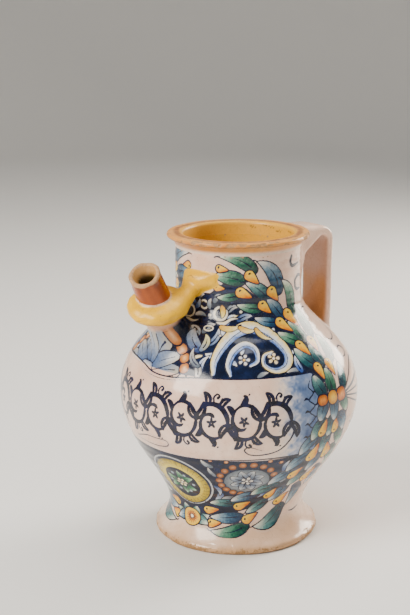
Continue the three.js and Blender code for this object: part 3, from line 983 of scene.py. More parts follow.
# The wreath's right arms, in steps away from the tie: first each step's leaves (base, tip, width, bow
# outwards), then its fruits (middle, tail, width)
UPPER_ARM = [
    ([((108.7, 117.5), (112.5, 131.8), 9, 0.08), ((93.3, 117.5), (90, 129.5), 9, -0.08),
      ((99.7, 117.5), (99.7, 132), 9, 0)],
     [((95, 132.5), (96, 127.5), 7.8), ((104.5, 133), (105, 128), 7.8)]),
    ([((108.7, 135.5), (110.9, 149), 9, 0.14), ((93.8, 134.5), (85.3, 145.8), 9.5, -0.08),
      ((99, 134.5), (97.5, 145.8), 9, 0.03)],
     [((91, 146), (93.8, 141.5), 8), ((102.5, 147), (102.3, 142), 8)]),
    ([((106.6, 150.5), (109.5, 167.5), 8.5, 0.1), ((92.8, 148), (78.4, 155.3), 8.5, -0.06),
      ((98, 149), (91.7, 160.3), 8, 0.04)],
     [((84.8, 159.5), (90, 155.5), 8.5), ((96, 163.3), (100, 157.5), 9)]),
    ([((103.4, 165), (91, 187.5), 9, 0.17), ((81, 160.3), (62.4, 164.5), 6.5, -0.07),
      ((88.5, 163.3), (75, 175.5), 8, 0.08)],
     [((71.5, 171.5), (79, 166), 7.2), ((80.5, 180.3), (89, 171.5), 7.7)]),
    ([((88.5, 181), (66, 201.5), 9.5, 0.15), ((69.3, 169.5), (47.5, 173), 6, -0.05),
      ((75.7, 176.8), (55.5, 187.5), 8, 0.08)],
     [((52.3, 180.8), (65, 176.2), 7.5), ((60, 192), (68.8, 186), 7.5)]),
    ([((63.5, 196), (32.3, 204.4), 8, 0.12), ((49, 178.5), (30, 177.3), 5, -0.05),
      ((52, 189), (28, 191.3), 8.7, 0.05)],
     [((31.5, 183.5), (46, 182.7), 5), ((33.7, 196.5), (40.6, 195.7), 5.5)])]
LOWER_ARM = [
    ([((106, 110), (110.5, 99), 8.5, 0.1), ((93.3, 110), (90.5, 98.5), 8.5, -0.1),
      ((99.7, 110), (99.7, 96), 9, 0)], []),
    ([((104, 98), (110, 85), 8.8, 0.14), ((92, 98), (86.8, 85.5), 8.8, -0.1),
      ((97.5, 98), (97.3, 85.5), 8.5, 0)],
     [((92.5, 91), (93.8, 97), 8), ((101.8, 90.5), (100.7, 97), 8)]),
    ([((104.8, 87), (111.5, 73), 9.5, 0.12), ((88.5, 88), (81.5, 75.5), 9, -0.1),
      ((96.5, 87), (95.8, 73), 9.5, 0.02)],
     [((90.1, 72.7), (91.7, 80), 9.6), ((101.8, 71.5), (99, 80), 9.6)]),
    ([((105, 74), (108.5, 57.5), 9.8, 0.16), ((87, 75.5), (76.5, 63), 9.5, -0.1),
      ((95.5, 73), (91, 59.5), 9, 0.03)],
     [((82.6, 58.6), (87.4, 64), 8), ((96, 52.7), (100, 59.5), 9)]),
    ([((101, 59.5), (102.5, 43.5), 9.2, 0.16), ((82, 63), (68, 52.5), 9, -0.08),
      ((90, 61), (82.5, 48.5), 9, 0.05)], []),
    ([((92, 47), (92.8, 28.5), 8.8, 0.18), ((73.5, 52), (58.5, 44), 8.5, -0.06),
      ((82.5, 49.5), (73, 36.5), 8.5, 0.06)],
     [((72, 42.3), (75.7, 48), 7.2), ((83.2, 35), (87.4, 40.4), 8)]),
    ([((87.4, 29), (63.5, 17), 9.5, 0.2), ((62, 44.5), (45, 38), 8, -0.06),
      ((71, 37.5), (57, 27.5), 7.5, 0.05)],
     [((51.8, 33.6), (60.8, 38), 7.8), ((59.2, 22.5), (68.3, 27.7), 7.5)]),
    ([((57.5, 17.5), (29, 13.8), 7.5, 0.1), ((48, 36.3), (28.5, 34.8), 7.4, -0.05),
      ((52.3, 24.8), (27.5, 23.3), 8, 0.03)],
     [((27.3, 28.6), (37.4, 30.2), 7.2), ((29.4, 18.4), (37.4, 19.3), 6.4)])]

# Runs of colour: shares from 0 to 1, and the colour at each
NAVY = [(0, "#070c1c"), (0.4, "#0d1834"), (0.72, "#1b2a56"), (1, "#37405f")]
BLUES = [(0, "#f1e3c4"), (0.28, "#dfe0e6"), (0.55, "#a9b9dc"), (0.8, "#5f7fc0"), (1, "#2f4e96")]
GOLD_BLUE = [(0, "#f2cf68"), (0.25, "#f0dfae"), (0.5, "#dfe3ea"), (0.78, "#8ca4d4"), (1, "#3c5ca6")]
GREY = [(0, "#5d6672"), (0.4, "#8d949c"), (0.75, "#c3bdb6"), (1, "#e4d8cc")]
GREY_BLUE = [(0, "#e6dbd2"), (0.35, "#aab4c4"), (0.7, "#6f83a6"), (1, "#2d4272")]
FROM_BLUE, FROM_GOLD_BLUE = back(BLUES), back(GOLD_BLUE)
FROM_GREY, FROM_GREY_BLUE = back(GREY), back(GREY_BLUE)
BLUE_TO_STRAW = [(0, "#6d7f9c"), (0.5, "#c9c08e"), (1, "#f0dfa2")]
BANNER_SHADE = [(0, "#ead8ca"), (0.3, "#b9bbc9"), (0.65, "#7287ad"), (1, "#37507f")]
SHELL = [(0, "#2a3a63"), (0.35, "#566b91"), (0.7, "#8793a6"), (1, "#b9b09f")]
SHELL_HEART = [(0, "#efe2d4"), (0.6, "#b4b5bb"), (1, "#5d6f94")]
SHELL_BEAD = [(0, "#f0bd8a"), (0.45, "#d58c4c"), (1, "#9c5522")]
PEARL = [(0, "#f2dfae"), (0.6, "#cfc4b4"), (1, "#8d94a0")]
AMBER = [(0, "#ee9a3e"), (0.5, "#d17218"), (1, "#9c480c")]
YELLOW = [(0, "#f6cf55"), (0.5, "#e9a733"), (1, "#c27a1e")]
GOLD = [(0, "#e8d254"), (0.5, "#cfb42e"), (1, "#8c7820")]
GOLD_LINE = [(0, "#8f6a16"), (1, "#8f6a16")]
GOLD_TIP = [(0, "#d99a2c"), (0.5, "#f0cf62"), (1, "#f4e2a0")]
STRAW = [(0, "#e2ab3a"), (0.5, "#f1d376"), (1, "#f6e8bb")]
PALE_BAND = [(0, "#f3dfa0"), (0.5, "#e9ddca"), (1, "#b9b4ac")]
PALE_LINE = [(0, "#9aa3ad"), (1, "#dcd8d2")]
MEADOW = [(0, "#14382c"), (0.4, "#2c6b46"), (0.7, "#6fa77c"), (1, "#cfdcc0")]
DEEP_BLUE = [(0, "#16233f"), (0.7, "#0e1830"), (1, "#0a1226")]
DEW = [(0, "#cdd6dd"), (1, "#5d7a8c")]
SLATE = [(0, "#7b868f"), (0.6, "#8b9196"), (1, "#5d6670")]
SLATE_LEAF = [(0, "#3d4c68"), (0.4, "#7b8798"), (0.8, "#b7b9ba"), (1, "#dcd5cc")]
MEDAL_BEAD = [(0, "#c98f62"), (0.5, "#a26234"), (1, "#6b3a1c")]
CLAY_BEAD = [(0, "#e8b487"), (0.5, "#c98650"), (1, "#8d5228")]
ORANGE_PETALS = [(0, "#e3a04a"), (0.5, "#f0cf7e"), (1, "#f3e3cc")]
BLUE_PETALS = [(0, "#7e93c4"), (0.5, "#cfd6e6"), (1, "#f0e4d6")]
GOLD_PETALS = [(0, "#d9b13a"), (0.6, "#f0d98a"), (1, "#f3e7cc")]
RUSTY_PETALS = [(0, "#c9803c"), (0.6, "#c7c0ba"), (1, "#e4dcd2")]
ORANGE = [(0, "#e07a1e"), (0.45, "#e9922a"), (0.75, "#f2c23e"), (1, "#e9b42e")]
ORANGE_HEART = [(0, "#fbf3e6"), (1, "#f3dcae")]

# The beads of the ties: how far round and how high each lies, its width, its height and its colours
TIE_BEADS = ((92.2, 112.8, 10, 7.6, AMBER), (106.1, 112.8, 12, 9.6, AMBER), (99.1, 112.8, 10.5, 9.8, YELLOW))


def wash(spot):
    """The dark ground of the panels: brushed unevenly, thinner and greyer in places."""
    return ramp(0.15 + 0.55 * PATCHES[spot] ** 1.6 + 0.25 * STREAKS[spot], *NAVY)


def paint_panels():
    """The two dark fields, which run on under the banner's edges."""
    upper = [(94, 122), (99, 130), (100, 140), (95, 152), (87, 163), (74, 172), (57, 183), (40, 188),
             (31, 183), (25, 179)]
    lower = [(92, 88), (97, 78), (94, 66), (86, 52), (76, 41), (60, 32), (44, 27), (26, 25)]
    for half in (upper, lower):
        area(np.vstack([placed(half, False), placed(half, True)[::-1]]), wash, 0.45)


def banner_tone(spot):
    """Bare glaze, with blue brushed on in rough strokes where the banner turns back at its ends."""
    u = degrees_of(spot) + 9 * STREAKS[spot] + 7 * (PATCHES[spot] - 0.5)
    end = smooth(68, 80, np.abs(u))
    return ramp(end * (0.42 + 0.75 * PATCHES[spot] ** 1.3 + 0.25 * STREAKS[spot]), *BANNER_SHADE)


def paint_banner():
    """The pale banner across the belly, between wavy edges, with a bud and tendril down each end."""
    top = [(90, 131), (70, 131.2), (48, 131), (30, 130.6), (18, 129), (8, 128.4), (0, 129.2), (-8, 131.4),
           (-20, 132.4), (-34, 131.6), (-50, 131.2), (-70, 131.2), (-90, 131)]
    low = [(-90, 77.5), (-70, 77.2), (-48, 76.6), (-24, 76), (0, 75.2), (24, 75.4), (48, 76.4), (70, 77.2),
           (90, 77.5)]
    area(np.vstack([curve(spots(*top), 5), curve(spots(*low), 5)]), banner_tone, 0.5)
    # The middle of the banner is bare glaze, not paint
    spot, out, _, _ = trace(spots((-94, 104), (94, 104)), 30)
    bare = smooth(62, 76, np.abs(degrees_of(spot))) + 0 * out
    inner = (out < 0) & (ROW_RUN[spot[0]] < at(0, 131)[1]) & (ROW_RUN[spot[0]] > at(0, 76)[1])
    COVER[spot] = np.where(inner, np.minimum(COVER[spot], bare), COVER[spot])
    # A second line under the top edge where it dips
    stroke(spots((24, 128.6), (14, 127), (6, 126.6), (-2, 127.6), (-10, 129.6)), [0.12, 0.2, 0.22, 0.2, 0.1])
    tendril = [(87, 127), (85, 123), (87, 119), (84, 115), (87, 111), (84, 107), (87, 103), (84, 98),
               (87, 94), (84, 89), (86, 84), (83, 80)]
    for left in (False, True):
        stroke(placed(tendril, left), [0.2] + [0.45] * 10 + [0.2])
        for (u, z), way in zip(tendril[2:10], (0.6, 2.6, 0.4, 2.7, 0.5, 2.5, 0.6, 2.6)):
            bud = one_placed(u, z, left)
            way = math.pi - way if left else way
            stroke([bud, shifted(bud, way, 2.4), shifted(bud, way + 0.5, 4.0)], [0.3, 0.9, 0.2], count=4)


INK_LEAF_STEPS = 10


def ink_leaf(base, way, length, half, bend=0.0, vein=True):
    """A bold leaf in solid ink with a scratched vein."""
    tip = shifted(base, way, length)
    middle = shifted(shifted(base, way, length / 2), way + math.pi / 2, bend * length)
    line = bezier([base, 2 * middle - (base + tip) / 2, tip], INK_LEAF_STEPS)
    t = np.linspace(0, 1, INK_LEAF_STEPS + 1)
    full = (1.001 - t) ** 0.75 * (t + 0.04) ** 0.55
    draw(line, half * full / full.max())
    if vein:
        spot, out, _, _ = trace(line[2:-3], np.linspace(0.3, 0.12, INK_LEAF_STEPS - 4))
        INK[spot] = np.maximum(INK[spot], -out)


NIB = math.radians(45)  # the slant at which the broad brush is held


def broad(line, thin=0.95, thick=0.85):
    """Ink from a broad brush: thin along the brush's slant and thick across it."""
    way = np.gradient(line, axis=0)
    half = thin + thick * np.abs(np.sin(np.arctan2(way[:, 1], way[:, 0]) - NIB))
    half *= np.interp(np.linspace(0, 1, len(line)), (0, 0.06, 0.94, 1), (0.55, 1, 1, 0.5))
    draw(line, half)


# The running scroll: where its first bay is in degrees, the bays' distance, height, number and size
FIRST_BAY, BAY_PITCH, BAY_LEVEL, BAYS = -49.0, 14.5, 104.5, 9
BAY_WIDE, BAY_TALL = 10.6, 12.6


def paint_bay(bay):
    """One bay of the scroll: a wave of its stem, a branch that curls in round a flower, and their leaves."""
    over = 1 if bay % 2 == 0 else -1
    middle = at(FIRST_BAY + BAY_PITCH * bay, BAY_LEVEL - 0.8 * over)
    r = np.interp(middle[1], RUN, OUTLINE[:, 0])

    def off(turn, share, grow=0.0):
        """A place round the bay, at a share of the way to the stem and some millimetres more."""
        way = np.array([math.cos(over * turn), math.sin(over * turn)])
        return middle + way * (np.array([BAY_WIDE, BAY_TALL]) * share + grow) / r

    broad(np.array([off(turn, 1) for turn in np.linspace(math.pi, 0, 22)]))
    # The branch goes on round the bay and winds inwards
    inmost = -1.62 * math.pi
    turns = np.linspace(0, inmost, 30)
    shares = np.interp(turns, (inmost, -math.pi, 0), (0.36, 0.7, 1))
    broad(np.array([off(turn, share) for turn, share in zip(turns, shares)]), 0.7, 0.7)
    for way, long in ((0.5, 3.1), (1.6, 3.3), (2.9, 2.9), (4.1, 3.2), (5.3, 3.0)):
        ink_leaf(shifted(middle, over * way, 0.7), over * way, long, 0.95, vein=False)
    # Leaves that fill the corners outside the waves, and along the branch
    join = shifted(off(0, 1), -over * 1.57, 1.0)
    for base, way, long, half, bend, vein in (
            (join, -1.2, 12.5, 2.9, 0.16, True), (join, -2.0, 11.0, 2.6, -0.16, True),
            (off(1.85, 1), 2.0, 8.8, 2.5, -0.2, True), (off(0.95, 1), 0.7, 8.6, 2.4, 0.22, True),
            (off(-1.75, 0.86), -1.2, 7.4, 2.1, 0.2, False), (off(-2.7, 0.78), -2.2, 7.0, 2.0, 0.2, False)):
        ink_leaf(base, over * way, long, half, over * bend, vein)
    tip = off(1.45, 1, 1.0)
    coil = [tip, shifted(tip, over * 1.7, 3.4)]
    coil += [shifted(shifted(tip, over * 1.57, up), 0, aside)
             for up, aside in ((5.6, 1.6), (4.4, 3.4), (3.2, 2.3))]
    stroke(coil, [0.5, 0.6, 0.6, 0.55, 0.95], count=5)
    for way, far in ((-1.57, 4.2), (-1.35, 5.4), (1.15, 5.0)):
        dot = off(way, 1, far)
        stroke([dot, shifted(dot, 0.9, 0.5)], 0.55, count=2)


def paint_frieze():
    """A running scroll of leaves along the banner, over thin pen flourishes at its two ends."""
    for bay in range(BAYS):
        paint_bay(bay)
    stroke(spots((-9.4, 81.4), (-0.3, 85), (7.3, 85.4), (13.7, 85.4), (13.8, 81.6), (7, 79.5), (-0.8, 79.4),
                 (-9.2, 80)), [0.3, 0.42, 0.36, 0.32, 0.42, 0.36, 0.3, 0.2])
    stroke(spots((76, 97), (74, 90), (69, 83), (61.2, 80.6), (55.4, 81.2), (52.8, 84.6), (55, 87), (61, 84)),
           [0.8, 0.65, 0.5, 0.5, 0.44, 0.5, 0.42, 0.2])


def acanthus(line, half, lobes, left, stops=GOLD_BLUE):
    """A leafy scroll: a brushed band with lobes folded back along its outer edge."""
    path = placed(line, left)
    side = -1 if left else 1
    dense = curve(path, 12)
    for share, long, wide, lean in lobes:
        k = min(int(share * (len(dense) - 1)), len(dense) - 2)
        way = heading(dense[k], dense[k + 1]) + side * lean
        leaf(shifted(dense[k], way, -1.0), shifted(dense[k], way, long), wide, side * 0.16, FROM_BLUE,
             vein=False)
    ribbon(path, half, stops)
    # A line of ink along the inside of the band
    inner = curve(path, 6)[3:-3]
    offset = [shifted(p, heading(a, b) - side * math.pi / 2, h * 0.28)
              for p, a, b, h in zip(inner, inner[:-1], inner[1:], spread(half, len(inner) - 1))]
    stroke(offset[::3], [0.1] + [0.26] * (len(offset[::3]) - 2) + [0.1], count=4)


VEINED_FROM = 4.1  # small leaves that are wider than this have a vein


def sprinkle(leaves, left, veined=True):
    """Small leaves of the panels: (base, tip, width, bend, colours)."""
    for base, tip, wide, bend, stops in leaves:
        base, tip = placed([base, tip], left)
        leaf(base, tip, wide, -bend if left else bend, stops, 0.3, vein=veined and wide > VEINED_FROM)


def paint_scrolls(left):
    """The leafy scrolls of one half of the upper panel, and what grows round them."""
    acanthus([(37, 133.5), (36.5, 141), (40, 149), (47, 155.5), (57, 158.5), (68, 156.5), (76.5, 150),
              (79.5, 142.5), (76, 136.5), (69, 135), (64, 138.5), (65, 143.5), (70, 144.5)],
             [1.6, 2.8, 3.9, 4.5, 4.8, 4.6, 4.2, 3.5, 2.8, 2.2, 1.7, 1.4, 1.8],
             [(0.12, 9, 5.5, 1.9), (0.24, 10, 6, 2.0), (0.36, 9.5, 6, 2.1), (0.48, 9, 6, 2.2),
              (0.6, 8, 5, 2.2)], left)
    acanthus([(46, 133), (44.5, 139), (47.5, 146), (54, 149.5), (60, 147), (60.5, 141), (56.5, 138.5)],
             [1.2, 2.2, 2.9, 2.8, 2.2, 1.6, 1.4],
             [(0.2, 6.5, 4.2, -1.9), (0.42, 6.5, 4.2, -2.1)], left, BLUES)
    rosette(one_placed(70, 141.5, left), 8.4, 5, ORANGE_PETALS)
    rosette(one_placed(53, 141.5, left), 8.0, 5, BLUE_PETALS, eye="#e8b23e")
    sprinkle([((60, 132), (66, 134.2), 3.4, 0.1, GREY), ((85, 133), (74, 132.6), 3.4, -0.12, GREY),
              ((84, 133), (85.5, 143), 4.6, 0.15, FROM_BLUE),
              ((30, 132.5), (33.5, 143.5), 4.6, 0.18, FROM_BLUE),
              ((29, 131.5), (24.5, 139.5), 5.0, -0.15, FROM_GREY),
              ((31, 149), (34.5, 158.5), 5.0, -0.15, FROM_GREY_BLUE),
              ((24, 155.5), (32, 160), 5.4, 0.18, GREY),
              ((40, 160.2), (50, 165.5), 4.6, 0.2, FROM_GOLD_BLUE),
              ((50, 163), (63, 164.5), 4.6, 0.16, FROM_GREY_BLUE),
              ((64, 162.5), (75, 162.2), 3.8, 0.14, GREY),
              ((41, 168), (51, 171), 4.2, 0.2, GREY), ((44, 174.5), (54, 177), 3.6, 0.2, FROM_GREY_BLUE),
              ((29, 174), (37, 179), 4.0, 0.2, GREY)], left)
    ribbon(placed([(33, 161.2), (38, 160.6), (44, 163.4), (50, 163.8)], left), [1.2, 1.5, 1.1, 0.3],
           PALE_BAND, 0.3)
    ring(one_placed(34.2, 166.4, left), 8.6, 8.6, 1.15, PALE_BAND, 0.3)
    base, tip = placed([(35.6, 170.6), (35.6, 163.4)], left)
    leaf(base, tip, 4.0, 0.1, GOLD_TIP, 0.28, vein=False)
    sprinkle([((36.5, 158.6), (52, 160.4), 4.6, -0.16, STRAW),
              ((51, 158.6), (63.5, 157.4), 4.2, -0.16, STRAW),
              ((63, 157.6), (74, 151.5), 3.8, -0.16, STRAW)], left, veined=False)
    for u, z, size in ((25, 165, 2.8), (52, 168, 2.6), (62, 167.4, 2.4), (46, 179.5, 2.4), (37, 175.6, 2.4),
                       (25, 173, 2.6), (37, 154, 2.2), (29, 147, 2.4)):
        disc(one_placed(u, z, left), size, size, PEARL, 0.25)


SHELL_RIBS, SHELL_BEADS = 9, 15


def paint_shell():
    """A scallop under the spout, rib by rib, with a row of beads round it."""
    shell = at(-6, 130)
    for k in [*range(0, SHELL_RIBS, 2), *range(1, SHELL_RIBS, 2)]:
        way = math.pi * (0.04 + 0.92 * k / (SHELL_RIBS - 1))
        reach = 22 + 9.5 * abs(math.cos(way))
        leaf(shell, shifted(shell, way, reach), 9.6, 0, SHELL, 0.34, vein=False, blunt=1.6)
        stroke([shifted(shell, way, reach * 0.45), shifted(shell, way, reach * 0.9)], [0.16, 0.4], count=6)
    disc(shell, 15, 9, SHELL_HEART)
    for k in range(SHELL_BEADS):
        way = math.pi * (-0.02 + 1.04 * k / (SHELL_BEADS - 1))
        bead = shifted(shell, way, 27.0 + 8.5 * abs(math.cos(way)))
        disc(bead, 8.2, 7.4, SHELL_BEAD, 0.45, turn=heading(shell, bead) + math.pi / 2)


def paint_upper_panel():
    for left in (True, False):
        paint_scrolls(left)
    paint_shell()
    # Small leaves and rings that fill the field between the two scrolls
    ring(at(4, 165.5), 7.4, 8.4, 1.05, PALE_BAND, 0.3)
    ribbon(spots((6, 160.8), (11, 160.2), (16, 161.8)), [1.1, 1.2, 0.3], PALE_BAND, 0.3)
    ring(at(26.7, 157.5), 6.4, 3.6, 0.8, PALE_BAND, 0.28)
    ring(at(18.5, 171.5), 5.4, 5.4, 0.9, PALE_BAND, 0.28)
    sprinkle([((11.5, 164.5), (22.5, 163.7), 3.6, 0.15, FROM_GREY),
              ((10, 169), (14, 175.5), 3.8, -0.15, FROM_GREY_BLUE),
              ((24, 169.5), (26.5, 176.5), 3.6, 0.15, GREY),
              ((-3, 161.5), (-6.5, 168), 4.0, 0.15, GREY), ((9, 172), (4.5, 177), 3.4, 0.1, FROM_GREY_BLUE),
              ((-2, 171), (-6, 176), 3.6, 0.1, GREY), ((14, 157), (22, 152.5), 4.4, 0.16, FROM_GREY),
              ((13, 176), (20, 178.5), 3.2, 0.1, GREY), ((28, 142.5), (23, 136), 3.0, -0.25, PALE_BAND),
              ((25, 146), (16, 157), 8.4, 0.16, FROM_GREY_BLUE),
              ((27, 146), (25.5, 154.5), 5.5, -0.2, BLUE_TO_STRAW),
              ((28, 137), (22, 147), 4.2, 0.2, GREY)], False)


def paint_middle_medallion():
    """A golden ring, ribbed across, with a green flower on dark blue."""
    middle = at(12, 50)
    ring(middle, 46.5, 46.5, 0.9, PALE_LINE, 0.3)
    ring(middle, 34.5, 35.5, 4.3, GOLD, 0.42)
    line = ring(middle, 34.5, 35.5, 0.1, GOLD_LINE, 0)
    for place in line[:-1:2]:
        way = heading(middle, place)
        stroke([shifted(place, way + 0.5, -3.6), shifted(place, way - 0.3, 3.2)], [0.1, 0.24], count=3)
    disc(middle, 26.5, 27, DEEP_BLUE, 0.3)
    for k, way in enumerate(all_round(6, math.pi / 2)):
        leaf(shifted(middle, way, 2.0), shifted(middle, way, 12.2), 6.2, 0.1 if k % 2 else -0.1, MEADOW, 0.26)
    for way in all_round(6, math.pi / 2, 0.5):
        disc(shifted(middle, way, 9.5), 3.0, 3.0, DEW, 0.22)
    rosette(middle, 8.5, 6, GOLD_PETALS)


def paint_side_medallion(left):
    """A grey medallion in a ring of beads, with leaves and beads round it."""
    heart = one_placed(55, 58, left)
    disc(heart, 31, 26, SLATE, 0.4)
    for way in all_round(18):
        bead = heart + np.array([math.cos(way) * 18.4, math.sin(way) * 15.9]) / radius_at(58)
        disc(bead, 5.9, 5.6, MEDAL_BEAD, 0.4, turn=heading(heart, bead) + math.pi / 2)
    for way in all_round(8, 0.39):
        tip = shifted(heart, way, 12.4 - 1.4 * abs(math.sin(way)))
        leaf(shifted(heart, way, 3.2), tip, 6.6, 0.08, SLATE_LEAF, 0.28)
    rosette(heart, 8.2, 5, RUSTY_PETALS)
    sprinkle([((36, 70), (31, 76), 4.4, 0.15, GREY), ((39, 46), (33, 37.5), 5.0, 0.15, FROM_GREY_BLUE),
              ((47, 42), (38, 37.0), 4.6, -0.15, GREY), ((36, 52), (38, 43), 3.6, 0.15, FROM_GREY_BLUE),
              ((76, 64), (77, 74), 4.6, 0.16, FROM_GREY_BLUE), ((74, 54), (80, 62), 4.2, -0.16, GREY),
              ((68, 47), (60, 41.5), 4.6, 0.15, FROM_GREY_BLUE), ((37, 62), (34, 70), 3.4, 0.1, GREY)],
             left, veined=False)
    for place in placed([(72, 73), (36, 75.5), (44, 75), (66, 74.8)], left):
        disc(place, 3.4, 3.0, CLAY_BEAD, 0.3)


LEAF_TONES = (LAUREL, LAUREL_GREEN, LAUREL_BLUE)


def paint_arm(steps, upwards, left):
    """One arm of the wreath, from its far end back to the tie, each step over the one beyond it."""
    outwards = 1 if upwards == left else -1
    for leaves, fruits in reversed(steps):
        for base, tip, wide, bow in leaves:
            base, tip = placed([base, tip], left)
            tones = LEAF_TONES[int(hand.integers(3))]
            leaf(base, tip, wide + 1.2 + hand.uniform(-0.4, 0.4), outwards * bow, tones, 0.42)
            way = heading(base, tip)
            end = shifted(tip, way - outwards * 0.5, 2.4)
            stroke([shifted(tip, way, -0.8), shifted(tip, way, 0.7), end], [0.45, 0.4, 0.45], count=3)
        for middle, tail, wide in fruits:
            fruit(*placed([middle, tail], left), wide)


def paint_tie(left):
    """The beads that tie the two arms together, each with ribs of ink."""
    for u, z, wide, tall, stops in TIE_BEADS:
        bead = one_placed(u, z, left)
        disc(bead, wide, tall, stops, 0.45)
        for rib in (-0.3, -0.1, 0.1, 0.3):
            middle = shifted(bead, 0, rib * wide * 0.85)
            rise = tall * (0.4 - abs(rib) / 2)
            top, low = shifted(middle, math.pi / 2, rise), shifted(middle, -math.pi / 2, rise)
            stroke([top, shifted(bead, 0, rib * wide * 1.1), low], [0.08, 0.2, 0.08], count=4)


# Loose strokes on the bare glaze: looped ribbons behind each tie, then small hooks on the neck and belly.
# Each is its half widths and its places
SWEEPS = [
    ([0.5, 0.62, 0.66, 0.6, 0.66, 0.62, 0.6, 0.4],
     [(110, 114), (118, 121), (128, 127), (136, 128), (138, 124), (130, 119), (120, 115.5), (110, 113)]),
    ([0.5, 0.6, 0.62, 0.66, 0.6, 0.62, 0.6, 0.4],
     [(110, 112.5), (120, 114.5), (132, 117.5), (141, 117), (142, 112.5), (134, 110), (121, 110.8),
      (110, 111.5)]),
    ([0.5, 0.6, 0.66, 0.6, 0.66, 0.62, 0.6, 0.4],
     [(110, 110.5), (120, 107), (130, 103.5), (138, 103), (140, 98.5), (132, 97), (121, 102.5), (110, 109)]),
    ([0.3, 0.55, 0.55, 0.55, 0.3], [(121, 137), (127, 137.5), (131, 134.5), (128, 131.4), (122, 131.6)]),
    ([0.3, 0.55, 0.55, 0.55, 0.3], [(118, 88), (125, 86), (129, 88.6), (126, 91.5), (120, 91.2)]),
    ([1.3, 1.3, 1.25, 1.1, 0.6], [(105, 201.5), (103.4, 198), (106, 195.2), (111, 195), (119, 195.6)]),
    ([0.8, 1.2, 1.3, 1.3, 1.2, 0.6],
     [(125, 186), (119, 187), (113, 185), (112, 181), (115, 178), (124, 177.4)]),
    ([0.3, 0.6, 0.5, 0.2], [(117, 162.6), (120, 163.8), (123, 164.2), (127, 163.6)]),
    ([0.2, 0.5, 0.5, 0.2], [(118, 145), (124, 142.5), (131, 143), (138, 146)]),
    ([0.3, 0.6, 0.6, 0.3], [(100, 22.5), (105, 21.6), (110, 21.8), (115, 22.6)]),
    ([0.3, 0.6, 0.6, 0.3], [(122, 52), (130, 49), (138, 50), (144, 54)]),
    ([0.3, 0.6, 0.6, 0.3], [(118, 66), (128, 68), (136, 66), (141, 61)]),
    ([0.3, 0.55, 0.55, 0.3], [(126, 34), (133, 32), (140, 33), (146, 37)])]


def paint_low_tie():
    """The orange flower that ties the wreath at the waist, on a fan of leaves."""
    middle = at(10.5, 20.4)
    for tip, bend, tones in (((-7, 24.5), 0.1, LAUREL_GREEN), ((28, 24.5), -0.1, LAUREL),
                             ((-6, 16.8), -0.1, LAUREL_BLUE), ((27, 16.8), 0.1, LAUREL),
                             ((4, 30), 0.1, LAUREL), ((17, 30), -0.1, LAUREL_GREEN)):
        leaf(middle, at(*tip), 8.6, bend, tones, 0.42)
    disc(middle, 14.6, 13.4, ORANGE, 0.45)
    for way in all_round(16):
        stroke([shifted(middle, way, 2.4), shifted(middle, way, 5.2)], [0.34, 0.08], count=3)
    disc(middle, 3.2, 3.0, ORANGE_HEART, 0.3)


def paint_jar():
    """The whole painting, from the grounds up."""
    paint_panels()
    paint_upper_panel()
    paint_middle_medallion()
    for left in (False, True):
        paint_side_medallion(left)
    paint_banner()
    paint_frieze()
    for left in (True, False):
        paint_arm(LOWER_ARM, False, left)
        paint_arm(UPPER_ARM, True, left)
        paint_tie(left)
    paint_low_tie()
    for left in (False, True):
        for half, pairs in SWEEPS:
            stroke(placed(pairs, left), half)
    # Cobalt haze that bled a little way out of the ink into the white glaze
    haze = 0.22 * smooth(2.6, 0.2, INK) * PATCHES * (1 - COVER)
    total = np.maximum(COVER + haze, 1e-6)[..., None]
    HUE[:] = (HUE * COVER[..., None] + linear("#8fa3c4") * haze[..., None]) / total
    COVER[:] = COVER + haze


paint_jar()


# Finishes

# Each finish reads three values that the pieces carry: paint (with how well it covers), ink (millimetres to
# the nearest ink, under 0 in it) and bare (how far the glaze has worn off)
PER_MM = 1000.0  # a pattern one millimetre across, in the metres of object coordinates

# Clouds of noise: (name, width in millimetres, detail)
CLOUDS = (("wide", 30, 3), ("patches", 6, 4), ("specks", 0.8, 2), ("speck_fields", 14, 2),
          ("bristles", 1.5, 3), ("bleed", 0.9, 2), ("pools", 4, 2), ("ragged", 2.2, 4), ("clay", 1.2, 4),
          ("swell", 2.6, 2), ("crumbs", 0.7, 3))
CLOUD_ROUGHNESS = 0.58

# Shares drawn out of the clouds: (name, cloud, from, to, share at the first, share at the second)
SHARES = (("thin_wide", "wide", 0.35, 0.7, 0, 1), ("thin_near", "patches", 0.45, 0.75, 0, 0.5),
          ("speck", "specks", 0.68, 0.78, 0, 1), ("speck_field", "speck_fields", 0.48, 0.66, 0, 1),
          ("uneven", "bristles", 0.3, 0.7, 0, 0.3), ("bleeding", "bleed", 0.3, 0.7, -0.09, 0.09),
          ("thinned", "pools", 0.4, 0.75, 0, 1), ("torn", "ragged", 0.3, 0.7, -0.5, 0.5))

CRAZE_WIDTH, PIT_SPACING = 7, 5  # millimetres across a mesh of the crazing, and from pit to pit


